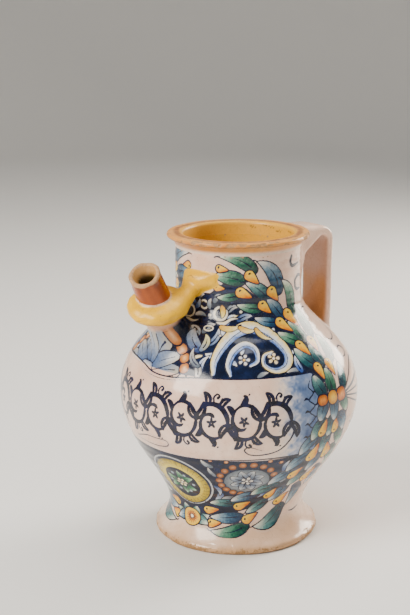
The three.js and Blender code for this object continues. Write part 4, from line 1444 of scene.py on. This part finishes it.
def glazed_clay(name, ground, patch, clay, roughness, speckle=0.5, peel=0.05):
    """Fired clay under a lead and tin glaze that pools, pits, crazes and catches brown specks.

    The colours are those of the glaze, of its soft patches and of the clay below. Speckle is the strength
    of the specks, and peel the height of the glaze's swell in millimetres. Paint and ink are sunk into it.
    """
    made = bpy.data.materials.new(name)
    made.use_nodes = True
    tree = made.node_tree
    tree.nodes.clear()
    place = node(tree, "ShaderNodeTexCoord")["Object"]
    paint = node(tree, "ShaderNodeAttribute", attribute_name="paint")
    ink = node(tree, "ShaderNodeAttribute", attribute_name="ink")["Fac"]
    bare = node(tree, "ShaderNodeAttribute", attribute_name="bare")["Fac"]
    share = {}
    for label, width, detail in CLOUDS:
        share[label] = node(tree, "ShaderNodeTexNoise", {
            "Vector": place, "Scale": PER_MM / width, "Detail": detail,
            "Roughness": CLOUD_ROUGHNESS})["Fac"]
    for label, cloud_name, low, high, to_low, to_high in SHARES:
        share[label] = node(tree, "ShaderNodeMapRange", {
            "Value": share[cloud_name], "From Min": low, "From Max": high,
            "To Min": to_low, "To Max": to_high})["Result"]
    # Brown specks come in fields, and ink bleeds by a tenth of a millimetre
    specks = node(tree, "ShaderNodeMath", {0: share["speck"], 1: share["speck_field"]},
                  operation="MULTIPLY")[0]
    specks = node(tree, "ShaderNodeMath", {0: specks, 1: speckle}, operation="MULTIPLY")[0]
    bled = node(tree, "ShaderNodeMath", {0: ink, 1: share["bleeding"]})[0]
    inked = node(tree, "ShaderNodeMapRange", {
        "Value": bled, "From Min": 0.1, "From Max": -0.1, "To Max": 0.99},
        interpolation_type="SMOOTHSTEP")["Result"]
    ink_tone = node(tree, "ShaderNodeMix", {0: share["thinned"], 6: shade("#080d20"), 7: shade("#131c42")},
                    data_type="RGBA")[2]
    laid = node(tree, "ShaderNodeMix", {0: share["uneven"], 6: paint["Color"], 7: shade("#cfcfcf")},
                data_type="RGBA", blend_type="MULTIPLY")[2]
    # A net of crazing, drawn 0.1 mm thick so that it shows at all, and pits 0.3 mm wide
    wander = node(tree, "ShaderNodeTexNoise", {"Vector": place, "Scale": PER_MM / PIT_SPACING})["Color"]
    bent = node(tree, "ShaderNodeVectorMath", {0: wander, 1: (0.004, 0.004, 0.004), 2: place},
                operation="MULTIPLY_ADD")[0]
    net = node(tree, "ShaderNodeTexVoronoi", {"Vector": bent, "Scale": PER_MM / CRAZE_WIDTH},
               feature="DISTANCE_TO_EDGE")["Distance"]
    crazed = node(tree, "ShaderNodeMapRange", {
        "Value": net, "From Min": 0.0, "From Max": 0.022, "To Min": 0.2, "To Max": 0.0})["Result"]
    cells = node(tree, "ShaderNodeTexVoronoi", {"Vector": place, "Scale": PER_MM / PIT_SPACING})["Distance"]
    pits = node(tree, "ShaderNodeMapRange", {
        "Value": cells, "From Min": 0.03, "From Max": 0.07, "To Min": 0.6, "To Max": 0.0})["Result"]
    # Worn places, ragged over 2 mm, where the buff clay shows
    torn = node(tree, "ShaderNodeMath", {0: bare, 1: share["torn"]})[0]
    worn = node(tree, "ShaderNodeMapRange", {"Value": torn, "From Min": 0.5, "From Max": 0.62},
                interpolation_type="SMOOTHSTEP")["Result"]
    body = node(tree, "ShaderNodeMix", {0: share["clay"], 6: shade(clay), 7: shade("#7a5230")},
                data_type="RGBA")[2]
    # The layers from the glaze up, each over the last
    colour = shade(ground)
    for much, tone, how in ((share["thin_wide"], shade(patch), "MIX"),
                            (share["thin_near"], shade(patch), "MIX"),
                            (specks, shade("#7d5336"), "MIX"), (paint["Alpha"], laid, "MIX"),
                            (inked, ink_tone, "MIX"), (crazed, shade("#8a6248"), "MULTIPLY"),
                            (worn, body, "MIX"), (pits, shade("#4d3626"), "MIX")):
        colour = node(tree, "ShaderNodeMix", {0: much, 6: colour, 7: tone},
                      data_type="RGBA", blend_type=how)[2]
    gloss = node(tree, "ShaderNodeMapRange", {
        "Value": share["patches"], "From Min": 0.3, "From Max": 0.8,
        "To Min": roughness, "To Max": roughness + 0.1})["Result"]
    gloss = node(tree, "ShaderNodeMath", {0: worn, 1: 0.5, 2: gloss}, operation="MULTIPLY_ADD")[0]
    # The relief, in millimetres
    crumbly = node(tree, "ShaderNodeMath", {0: share["crumbs"], 1: 0.12, 2: -0.14},
                   operation="MULTIPLY_ADD")[0]
    height = node(tree, "ShaderNodeMath", {0: worn, 1: crumbly}, operation="MULTIPLY")[0]
    for much, tall in ((share["swell"], peel), (inked, 0.012), (pits, -0.12)):
        height = node(tree, "ShaderNodeMath", {0: much, 1: tall, 2: height}, operation="MULTIPLY_ADD")[0]
    bumped = node(tree, "ShaderNodeBump", {"Height": height, "Strength": 1.0, "Distance": 1 / PER_MM})[0]
    surface = node(tree, "ShaderNodeBsdfPrincipled", {
        "Base Color": colour, "Roughness": gloss, "IOR": 1.48, "Normal": bumped})[0]
    node(tree, "ShaderNodeOutputMaterial", {"Surface": surface})
    return made


# Opaque white tin glaze, warmed to a pinkish cream by the clay below: soft patches and a wet gloss
TIN_GLAZE = glazed_clay("tin_glazed_earthenware_painted", "#f3d4bf", "#dfb59b", "#c19a6b", 0.085)
# The same glaze run thin over the foot, browner and more speckled, and worn to sandy clay along the edge
FOOT_GLAZE = glazed_clay("tin_glaze_worn_at_the_foot", "#efd0b8", "#d8b292", "#b98f5a", 0.12, 0.75)
# Hardly any tin on the lip: a dull orange-buff skin, chipped and rubbed by lids
LIP_GLAZE = glazed_clay("thin_lead_glaze_worn_at_the_rim", "#dd9a4c", "#bf772f", "#cfa06a", 0.34, 0.9, 0.08)
# Lead glaze stained with antimony: a warm egg yellow mottled with darker patches; the collar's darker lower
# side is painted shade
YELLOW_GLAZE = glazed_clay("antimony_yellow_lead_glaze", "#f2b700", "#dc9a04", "#c99a5c", 0.29, 0.8, 0.14)
# Lead glaze stained with iron over the spout: burnt orange, darker where it ran thick
ORANGE_GLAZE = glazed_clay("iron_orange_lead_glaze", "#a34a00", "#743000", "#d9ae7d", 0.2, 0.8, 0.1)


# What each piece carries for its finish: a coat is its hue, its cover and its ink

INNER_OCHRE = "#e3a834"  # the brown glaze inside the jar
THIN_COVER = 0.35        # how well the colours of the lip and the collar cover the glaze


def sampled(azimuth, run):
    """The painting's coat at places on the jar."""
    x = (azimuth + math.pi) * DOTS - 0.5
    y = (run - PAINT_LOW) * DOTS - 0.5
    off = (y < 0) | (y > HIGH_DOTS - 2)
    y = np.clip(y, 0, HIGH_DOTS - 2)
    i, j = y.astype(int), np.floor(x).astype(int)
    fy, fx = (y - i)[:, None], (x - j)[:, None]
    j0, j1 = j % WIDE_DOTS, (j + 1) % WIDE_DOTS
    picked = []
    for sheet in (HUE, COVER[..., None], INK[..., None]):
        picked.append((sheet[i, j0] * (1 - fx) + sheet[i, j1] * fx) * (1 - fy)
                      + (sheet[i + 1, j0] * (1 - fx) + sheet[i + 1, j1] * fx) * fy)
    hue, cover, ink = picked[0], picked[1][:, 0], picked[2][:, 0]
    return hue, np.where(off, 0, cover), np.where(off, CLEAR, ink)


def on_jar(p):
    """The painting's coat at points on or near the jar's outside."""
    r, azimuth = polar(p)
    return sampled(azimuth, np.interp(looked_up(LEVEL_TABLE, r, p[:, 2]), OUTLINE[:, 1], RUN))


def on_wall(p):
    """The painting's coat at points of a turned wall, by their height alone."""
    return sampled(polar(p)[1], np.interp(p[:, 2], OUTLINE[:, 1], RUN))


def plain(count, tone):
    """A thin coat of one colour, with no ink, for a number of points."""
    return np.tile(linear(tone), (count, 1)), np.full(count, THIN_COVER), np.full(count, CLEAR)


def layered(coat, *layers):
    """The coat with more colours over it, each with its share, and no ink under them."""
    hue, cover, ink = coat
    for share, tone in layers:
        share = np.clip(share, 0, 1)
        total = np.clip(cover * (1 - share) + share, 1e-6, None)
        hue = (hue * (cover * (1 - share))[:, None] + linear(tone) * share[:, None]) / total[:, None]
        cover, ink = np.minimum(total, 1), ink + share * CLEAR
    return hue, cover, ink


def carry(piece, coat, bare):
    """Stores the coat and the worn places on the piece's points."""
    hue, cover, ink = coat
    data = piece.data
    colour = data.attributes.new("paint", "FLOAT_COLOR", "POINT")
    colour.data.foreach_set("color", np.column_stack([hue, cover]).astype(np.float32).ravel())
    for name, value in (("ink", ink), ("bare", bare)):
        data.attributes.new(name, "FLOAT", "POINT").data.foreach_set("value", value.astype(np.float32))


def points_of(piece):
    """The piece's points in millimetres."""
    flat_list = np.empty(len(piece.data.vertices) * 3, np.float32)
    piece.data.vertices.foreach_get("co", flat_list)
    return flat_list.reshape(-1, 3).astype(float) / MM


def put_points(piece, p):
    """Moves the piece's points to places in millimetres."""
    piece.data.vertices.foreach_set("co", (p * MM).astype(np.float32).ravel())


def softened(piece, degrees=42):
    """Smooth shading with the square corners kept."""
    piece.data.shade_smooth()
    piece.data.set_sharp_from_angle(angle=math.radians(degrees))


def finished(piece, slot, *nodes):
    """The piece as the potter left it, and what it stands for in the frame."""
    put_points(piece, thrown(points_of(piece)))
    piece.data.update()
    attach(piece, "root")
    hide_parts(*nodes)


def knocked(azimuth, radius, up, stretch, seed, count, *limits):
    """How near points are to each of some small knocks, 1 at its middle, and how deep the knock is.

    The limits are those of a knock's place upwards, width, height and depth. The stretch turns the places
    upwards into millimetres.
    """
    draws = np.random.default_rng(seed)
    for _ in range(count):
        a, b, wide, tall, deep = (draws.uniform(*limit) for limit in ((-math.pi, math.pi), *limits))
        away = np.abs((azimuth - a + math.pi) % math.tau - math.pi) * radius
        rise = np.abs(up - b) * stretch
        yield np.clip(1.25 - np.sqrt((away / wide) ** 2 + (rise / tall) ** 2), 0, 1), deep


# The turned pieces

ROW = 0.5  # rows of the painted walls, so that a thin line of ink falls on more than one
LIP_ROW, INNER_ROW = 0.42, 4.0
BELLY_COLUMNS, COLUMNS = 700, 600
BELLY_CUTS = (FOOT_HEIGHT, 68.5, 123.5, SHOULDER_Z)  # the belly is drawn in three rings
BIT_SIDES, BIT_LOW, BIT_HIGH = 48, -18, 12


def dress_turned(piece):
    """Painting outside, ochre glaze inside, and a little wear right under the lip."""
    p = points_of(piece)
    inner = smooth(0.8, 1.6, radius_at(p[:, 2]) - polar(p)[0])
    carry(piece, layered(on_wall(p), (inner, INNER_OCHRE)), 0.3 * smooth(SEAM_Z - 3, SEAM_Z, p[:, 2]))


def drilled(piece):
    """The spout's hole through the shoulder's wall."""
    turns = np.linspace(0, math.tau, BIT_SIDES, endpoint=False)
    ends = [np.stack([SPOUT_BORE_R * np.cos(turns), SPOUT_BORE_R * np.sin(turns), 0 * turns + z], 1)
            for z in (BIT_LOW, BIT_HIGH)]
    sides = [[i, (i + 1) % BIT_SIDES, BIT_SIDES + (i + 1) % BIT_SIDES, BIT_SIDES + i]
             for i in range(BIT_SIDES)]
    caps = [list(range(BIT_SIDES - 1, -1, -1)), list(range(BIT_SIDES, 2 * BIT_SIDES))]
    bit = mesh_piece("bit", off_spout(np.concatenate(ends)), sides + caps)
    hole = piece.modifiers.new("hole", "BOOLEAN")
    hole.operation, hole.solver, hole.object = "DIFFERENCE", "MANIFOLD", bit
    apply_modifier(piece, hole)
    bpy.data.objects.remove(bit)


def make_belly():
    for name, low, high in zip(("belly_lower", "belly_middle", "belly_shoulder"), BELLY_CUTS, BELLY_CUTS[1:]):
        outer = evened(between(BELLY_SIDE, low, high), ROW)
        if low == FOOT_HEIGHT:
            floor = [[0, FLOOR_Z]]
            inner = evened(joined(floor, FLOOR_TURN, between(INSIDE, INSIDE[0, 1], high)), INNER_ROW)[::-1]
            inner = joined(inner, [[0, FOOT_HEIGHT]])
        else:
            inner = evened(between(INSIDE, low, min(high, INSIDE[-1, 1])), INNER_ROW)
            if high == SHOULDER_Z:
                inner = joined(inner, [[MOUTH_R, SHOULDER_Z]])
            inner = inner[::-1]
        piece = turned(name, joined(outer, inner), len(outer) - 1, BELLY_COLUMNS, TIN_GLAZE)
        if high == SHOULDER_Z:
            drilled(piece)
        softened(piece)
        dress_turned(piece)
        finished(piece, "painted_glaze", "belly")


def make_neck():
    outer = evened(NECK_SIDE, ROW)
    inner = np.array([[MOUTH_R, z] for z in np.linspace(SEAM_Z, SHOULDER_Z, 9)])
    piece = turned("neck_wall", joined(outer, inner), len(outer) - 1, COLUMNS, TIN_GLAZE)
    softened(piece)
    dress_turned(piece)
    finished(piece, "neck_glaze", "neck")


def make_foot():
    outer = evened(FOOT_SIDE, ROW)
    # The underside is pared a little hollow, so that the foot rests on its rim
    under = [[0, FOOT_HEIGHT], [0, 1.2], [38, 1.2], [44, 0.6], [46.5, 0]]
    piece = turned("foot_disc", joined(outer, under), len(outer) - 1, COLUMNS, FOOT_GLAZE)
    p = points_of(piece)
    z = p[:, 2]
    r, azimuth = polar(p)
    below = smooth(1.3, 0.2, z) + smooth(55.0, 53.0, r) * smooth(3, 1.5, z)
    ragged = 0.16 * np.sin(3 * azimuth + 0.6) + 0.12 * np.sin(7 * azimuth)
    ragged += 0.1 * np.sin(17 * azimuth + 2 * np.sin(5 * azimuth))
    edge = smooth(6.6, 2.6, z) * (0.62 + ragged)
    coat = layered(on_wall(p), (0.75 * smooth(7.5, 3.0, z), "#c08f56"))
    carry(piece, coat, np.clip(np.maximum(edge, below * 1.2), 0, 1.2))
    # Knocks and sand marks along the worn edge
    sink = np.zeros(len(p))
    for near, deep in knocked(azimuth, FOOT_R, z, 1, 31, 60, (1.2, 5.8), (1.0, 5.0), (0.6, 1.6),
                              (0.15, 0.55)):
        sink = np.maximum(sink, deep * smooth(0, 0.7, near * (r > 50)))
    wavy = 0.15 * np.sin(5 * azimuth + 1) + 0.1 * np.sin(12 * azimuth) + 0.06 * np.sin(31 * azimuth)
    grown = (wavy * smooth(8, 5, z) - sink) * smooth(48, 53, r) * smooth(-0.1, 0.8, z)
    p[:, :2] *= (1 + grown / np.maximum(r, 1e-6))[:, None]
    put_points(piece, p)
    softened(piece)
    finished(piece, "foot_glaze", "foot")


# Cracks inside the mouth: degrees round, height, half the width in degrees, slant
INSIDE_CRACKS = ((196, 211.6, 9, 0.06), (182, 209.2, 5, -0.1), (214, 210.4, 4, 0.15), (160, 210.8, 6, 0.05))


def lip_line():
    """The lip's section, and how many of its rows are outside."""
    outer = evened(LIP_SIDE, LIP_ROW)
    top = evened(np.array([[LIP_R - LIP_ROUND, TOP_Z], [MOUTH_R + LIP_INNER_ROUND, TOP_Z]]), ROW)
    inner = joined(
        bezier([(MOUTH_R + LIP_INNER_ROUND, TOP_Z), (MOUTH_R, TOP_Z), (MOUTH_R, TOP_Z - LIP_INNER_ROUND)],
               10),
        [[MOUTH_R, z] for z in np.linspace(TOP_Z - LIP_INNER_ROUND, SEAM_Z, 8)])
    return joined(outer, top, inner), len(outer) + len(top) - 2


def lip_coat(r, azimuth, z, turn):
    """The lip's colours: buff, with a pale start, an orange top, brown edges and cracks inside the mouth."""
    on_roll = r > 43
    patchy = 0.5 + 0.3 * np.sin(azimuth * 3 + 1.1) + 0.2 * np.sin(azimuth * 8)
    coat = layered(plain(len(r), "#dc9745"),
                   (smooth(SEAM_Z + 3.4, SEAM_Z + 0.8, z) * (r > 41), "#e2cbb8"),
                   (0.5 * patchy * smooth(0.2, 1.2, turn) * on_roll, "#eaae5e"),
                   (smooth(41.4, 39.4, r), INNER_OCHRE))
    for turn_at, level, wide, slant in INSIDE_CRACKS:
        off = (np.degrees(azimuth) - turn_at + 180) % 360 - 180
        line = np.abs(z - level - slant * off + 0.4 * np.sin(off * 1.7)) / 0.5
        crack = 0.85 * smooth(1, 0.4, line) * smooth(wide, wide * 0.6, np.abs(off)) * (r < 42)
        coat = layered(coat, (crack, "#4a2f1c"))
    # Brown where the glaze drew back from the edges of the roll
    brown = smooth(3.0, 0.6, np.abs(r - 42.8 + 0.4 * np.sin(azimuth * 9)))
    brown = brown * smooth(TOP_Z - 1.2, TOP_Z - 0.4, z)
    under = smooth(0.5, 0.15, np.abs(turn + 0.75 + 0.2 * np.sin(azimuth * 5)))
    brown = np.maximum(brown, 0.8 * under * (r > 45))
    return layered(coat, (np.clip(brown * (0.5 + 0.6 * lip_mottle(r, azimuth)), 0, 0.9), "#8a4e1e"))


def lip_mottle(r, azimuth):
    """Uneven blotches along the lip."""
    mottle = 0.5 + 0.3 * np.sin(azimuth * 23 + 2 * np.sin(azimuth * 7))
    return mottle + 0.3 * np.sin(azimuth * 41 + r * 1.3 + 3 * np.sin(azimuth * 11))


def make_lip():
    piece = turned("lip_roll", *lip_line(), COLUMNS, LIP_GLAZE)
    p = points_of(piece)
    z = p[:, 2].copy()
    r, azimuth = polar(p)
    on_roll = r > 43
    out_way = np.stack([r - (LIP_R - LIP_ROUND), z - (TOP_Z - LIP_ROUND)], 1)
    turn = np.arctan2(out_way[:, 1], out_way[:, 0])
    sink, bare = np.zeros(len(p)), np.zeros(len(p))
    # Small flakes off the rolled edge
    for near, deep in knocked(azimuth, LIP_R, turn, LIP_ROUND, 23, 84,
                              (-1.0, 1.5), (0.8, 3.6), (0.5, 1.4), (0.15, 0.6)):
        near = near * on_roll
        sink = np.maximum(sink, deep * smooth(0, 0.6, near))
        bare = np.maximum(bare, smooth(0, 0.35, near) * 0.9)
    wavy = 0.12 * np.sin(2 * azimuth + 0.7) + 0.1 * np.sin(5 * azimuth) + 0.06 * np.sin(11 * azimuth + 1)
    rolled = smooth(SEAM_Z + 1, SEAM_Z + 5, z)
    way = out_way / np.maximum(np.hypot(*out_way.T), 1e-6)[:, None]
    push = -sink * on_roll
    unit = p[:, :2] / r[:, None]
    p[:, :2] += unit * (way[:, 0] * push + 0.8 * wavy * rolled * on_roll)[:, None]
    p[:, 2] += way[:, 1] * push + 0.5 * np.minimum(wavy, 0) * rolled
    put_points(piece, p)
    softened(piece)
    bare = np.clip(bare + (0.1 + 0.22 * lip_mottle(r, azimuth)) * smooth(0.2, 1.3, turn) * on_roll, 0, 1)
    carry(piece, lip_coat(r, azimuth, p[:, 2], turn), bare)
    finished(piece, "lip_glaze", "rolled_lip")


# The pieces made by hand

SPOUT_BOX, SPOUT_STEP = ((-30, -100, 116), (30, -26, 208)), 0.7
COLLAR_BOX, COLLAR_STEP = ((-30, -100, 146), (38, -30, 206)), 0.64
HANDLE_BOX, HANDLE_STEP = ((-37, 24, 102), (37, 83, 217)), 0.85
HAND_CORNER = 60  # degrees: blunter corners of a hand-made piece are smooth


def modelled(name, shape, box, step, glaze):
    """A hand-made piece and its points, from its shape within a box."""
    points, faces = skin(shape, *box, step)
    piece = mesh_piece(name, points, faces.tolist())
    softened(piece, HAND_CORNER)
    piece.data.materials.append(glaze)
    return piece, points


def make_spout():
    piece, p = modelled("spout_tube", spout_shape, SPOUT_BOX, SPOUT_STEP, ORANGE_GLAZE)
    q = in_spout(p)
    away, angle = round_spout(q)
    up, mouth = q[:, 2], past_mouth(q)
    outside = smooth(8.2, 9.2, away)
    streak = 0.5 + 0.25 * np.sin(5 * angle + 0.5 + np.sin(up / 6)) + 0.25 * np.sin(11 * angle + up / 5)
    stained = smooth(0.35 + 0.25 * np.sin(5 * angle + 1), 1.1, collar_ring(q)) * smooth(22, 25, up) * outside
    within = smooth(0.9, 0.4, bore(q)) * (away < 10)
    rim = smooth(-1.7 - 0.4 * np.sin(3 * angle) - 0.3 * np.sin(7 * angle + 1), -0.7, mouth)
    # Bare glaze below the collar, orange with dark runs above it, brown in the bore and darkened deeper
    # inside it as painted shade, and buff at the rim
    coat = layered(on_jar(p),
                   (smooth(11.5, 15.5, up) * outside, "#dcae8f"),
                   (stained, "#a74c00"),
                   (stained * streak * (0.3 + 0.4 * smooth(38, 48, up)), "#4e1800"),
                   (within, "#c08f52"),
                   (within * smooth(-2.5, -7, mouth), "#3a2b12"),
                   (rim * outside, "#dcae7c"))
    carry(piece, coat, 0.85 * rim * smooth(7.4, 8.2, away))
    finished(piece, "spout_glaze", "spout")


def make_collar():
    piece, p = modelled("collar_and_brace", collar_shape, COLLAR_BOX, COLLAR_STEP, YELLOW_GLAZE)
    q = in_spout(p)
    tube_gap, jar_gap = tube(q), from_jar(p)
    # The orange stain of the tube ran on to the roll's right side in blotches
    away, angle = round_spout(q)
    blotch = np.sin(9 * angle + 1.3) * np.sin(q[:, 2] / 0.9 + 3 * angle) + 0.6 * np.sin(21 * angle + q[:, 2])
    run = smooth(0.9, 1.4, blotch) * smooth(2.4, 3.6, q[:, 2] - COLLAR_AT)
    run = run * smooth(21, 17, away) * (np.abs(angle - 0.5) < 0.9)
    # Hairline brown scratches near the end of the tongue
    round_neck = np.degrees(polar(p)[1])
    scratch = np.abs(p[:, 2] - 190.6 - 0.5 * np.sin(round_neck * 0.9) + 0.06 * round_neck) / 0.35
    scratched = smooth(1, 0.4, scratch) * smooth(3, 6, round_neck) * smooth(17, 13, round_neck)
    scratched = scratched * (p[:, 2] > 186) * (q[:, 1] > 12)
    # Painted shade: the roll is coloured darker on its lower side. Slip shows pinkish where the roll meets
    # the tube
    coat = layered(plain(len(p), "#f6c212"),
                   (0.5 * smooth(-2, -9, q[:, 1]) * smooth(27, 20, q[:, 2]), "#bd8408"),
                   (smooth(1.0, 0.3, tube_gap) * (q[:, 2] > COLLAR_AT - 3), "#e2bda2"),
                   (0.6 * run, "#a85a22"),
                   (0.75 * scratched, "#6d4118"))
    carry(piece, coat, 0.3 * smooth(1.1, 0.3, tube_gap) + 0.12 * smooth(1.2, 0.2, jar_gap))
    finished(piece, "yellow_glaze", "spout_collar", "collar_brace")


def make_handle():
    piece, p = modelled("handle_strap", strap_shape, HANDLE_BOX, HANDLE_STEP, TIN_GLAZE)
    # The glaze is thin and brown on the side towards the neck, and that side is also darkened as painted
    # shade
    inner = smooth(-0.35, -0.85, slope(strap, p)[:, 1]) * smooth(3, 1, strap(p))
    edge = smooth(14, 9.5, np.abs(p[:, 0] + 0.8 * np.sin(p[:, 2] / 9)))
    coat = layered(on_jar(p),
                   (inner * 0.8, "#b39482"),
                   (inner * edge * smooth(183, 168, p[:, 2]) * smooth(132, 142, p[:, 2]), "#c08f5c"))
    carry(piece, coat, np.zeros(len(p)))
    finished(piece, "handle_glaze", "strap_handle")


make_foot()
make_belly()
make_neck()
make_lip()
make_handle()
make_spout()
make_collar()


# Camera, floor and light, set out as the camera sees them and turned to the jar's own front

TURN = Matrix.Rotation(math.radians(50), 4, "Z")
CAMERA_BACK, CAMERA_UP, LENS = 0.8354, 0.3667, 72.54
PITCH, YAW, ROLL = math.radians(13.89), math.radians(-1.61), math.radians(-0.23)
STUDIO_SIDES = 96
STUDIO_RUNS = (0.5, 1.2, 2.2)       # metres out along the flat of the floor
STUDIO_CURVE, STUDIO_TOP = 1.2, 2.6  # metres: the curve up into the wall, and the wall's height


def make_camera():
    ahead = Vector((math.sin(YAW) * math.cos(PITCH), math.cos(YAW) * math.cos(PITCH), -math.sin(PITCH)))
    level_right = Vector((math.cos(YAW), -math.sin(YAW), 0))
    level_up = level_right.cross(ahead)
    right = level_right * math.cos(ROLL) + level_up * math.sin(ROLL)
    up = level_up * math.cos(ROLL) - level_right * math.sin(ROLL)
    camera = in_scene("camera", bpy.data.cameras.new("camera"))
    axes = Matrix((right, up, -ahead)).transposed().to_4x4()
    camera.matrix_world = TURN @ Matrix.Translation((0, -CAMERA_BACK, CAMERA_UP)) @ axes
    camera.data.lens = LENS
    bpy.context.scene.camera = camera


def softbox(name, place, aim, size, power, tone):
    """A soft rectangular light at a place as the camera sees it."""
    lamp = bpy.data.lights.new(name, "AREA")
    lamp.shape, lamp.size, lamp.size_y = "RECTANGLE", size[0], size[1]
    lamp.energy, lamp.color = power, linear(tone)
    way = Vector(aim) - Vector(place)
    turned_to = way.to_track_quat("-Z", "Y").to_matrix().to_4x4()
    in_scene(name, lamp).matrix_world = TURN @ Matrix.Translation(place) @ turned_to


def make_floor():
    """A round studio floor of matt pale paper that curves up into its own wall."""
    flat = STUDIO_RUNS[-1]
    line = [(r, 0) for r in STUDIO_RUNS]
    line += [(flat + STUDIO_CURVE * math.sin(a), STUDIO_CURVE - STUDIO_CURVE * math.cos(a))
             for a in np.linspace(0.1, math.pi / 2, 16)]
    line += [(flat + STUDIO_CURVE, STUDIO_TOP)]
    turns = np.linspace(0, math.tau, STUDIO_SIDES, endpoint=False)
    points = [(0, 0, 0)] + [(r * math.cos(a), r * math.sin(a), z) for r, z in line for a in turns]
    faces = [(0, 1 + i, 1 + (i + 1) % STUDIO_SIDES) for i in range(STUDIO_SIDES)]
    for k in range(len(line) - 1):
        for i in range(STUDIO_SIDES):
            a, b = 1 + k * STUDIO_SIDES + i, 1 + k * STUDIO_SIDES + (i + 1) % STUDIO_SIDES
            faces.append((a, a + STUDIO_SIDES, b + STUDIO_SIDES, b))
    mesh = bpy.data.meshes.new("floor")
    mesh.from_pydata(points, [], faces)
    mesh.shade_smooth()
    paper = bpy.data.materials.new("matt_pale_paper")
    paper.use_nodes = True
    surface = paper.node_tree.nodes["Principled BSDF"]
    surface.inputs["Base Color"].default_value = shade("#ebe9e5")
    surface.inputs["Roughness"].default_value = 0.75
    mesh.materials.append(paper)
    in_scene("floor", mesh)


def make_light():
    softbox("key_right_behind", (0.95, 0.75, 0.62), aim=(0, 0, 0.12), size=(0.55, 0.75), power=24,
            tone="#fff6ea")
    softbox("top_left", (-1.05, -0.8, 1.0), aim=(0, 0, 0.1), size=(0.8, 0.8), power=38, tone="#fffaf2")
    softbox("overhead", (0.1, 0.1, 1.5), aim=(0, 0, 0.1), size=(0.9, 0.9), power=12, tone="#fffdf8")
    world = bpy.data.worlds.new("studio")
    world.use_nodes = True
    background = world.node_tree.nodes["Background"]
    background.inputs[0].default_value = shade("#e6e8ec")
    background.inputs[1].default_value = 0.25
    bpy.context.scene.world = world


make_camera()
make_floor()
make_light()
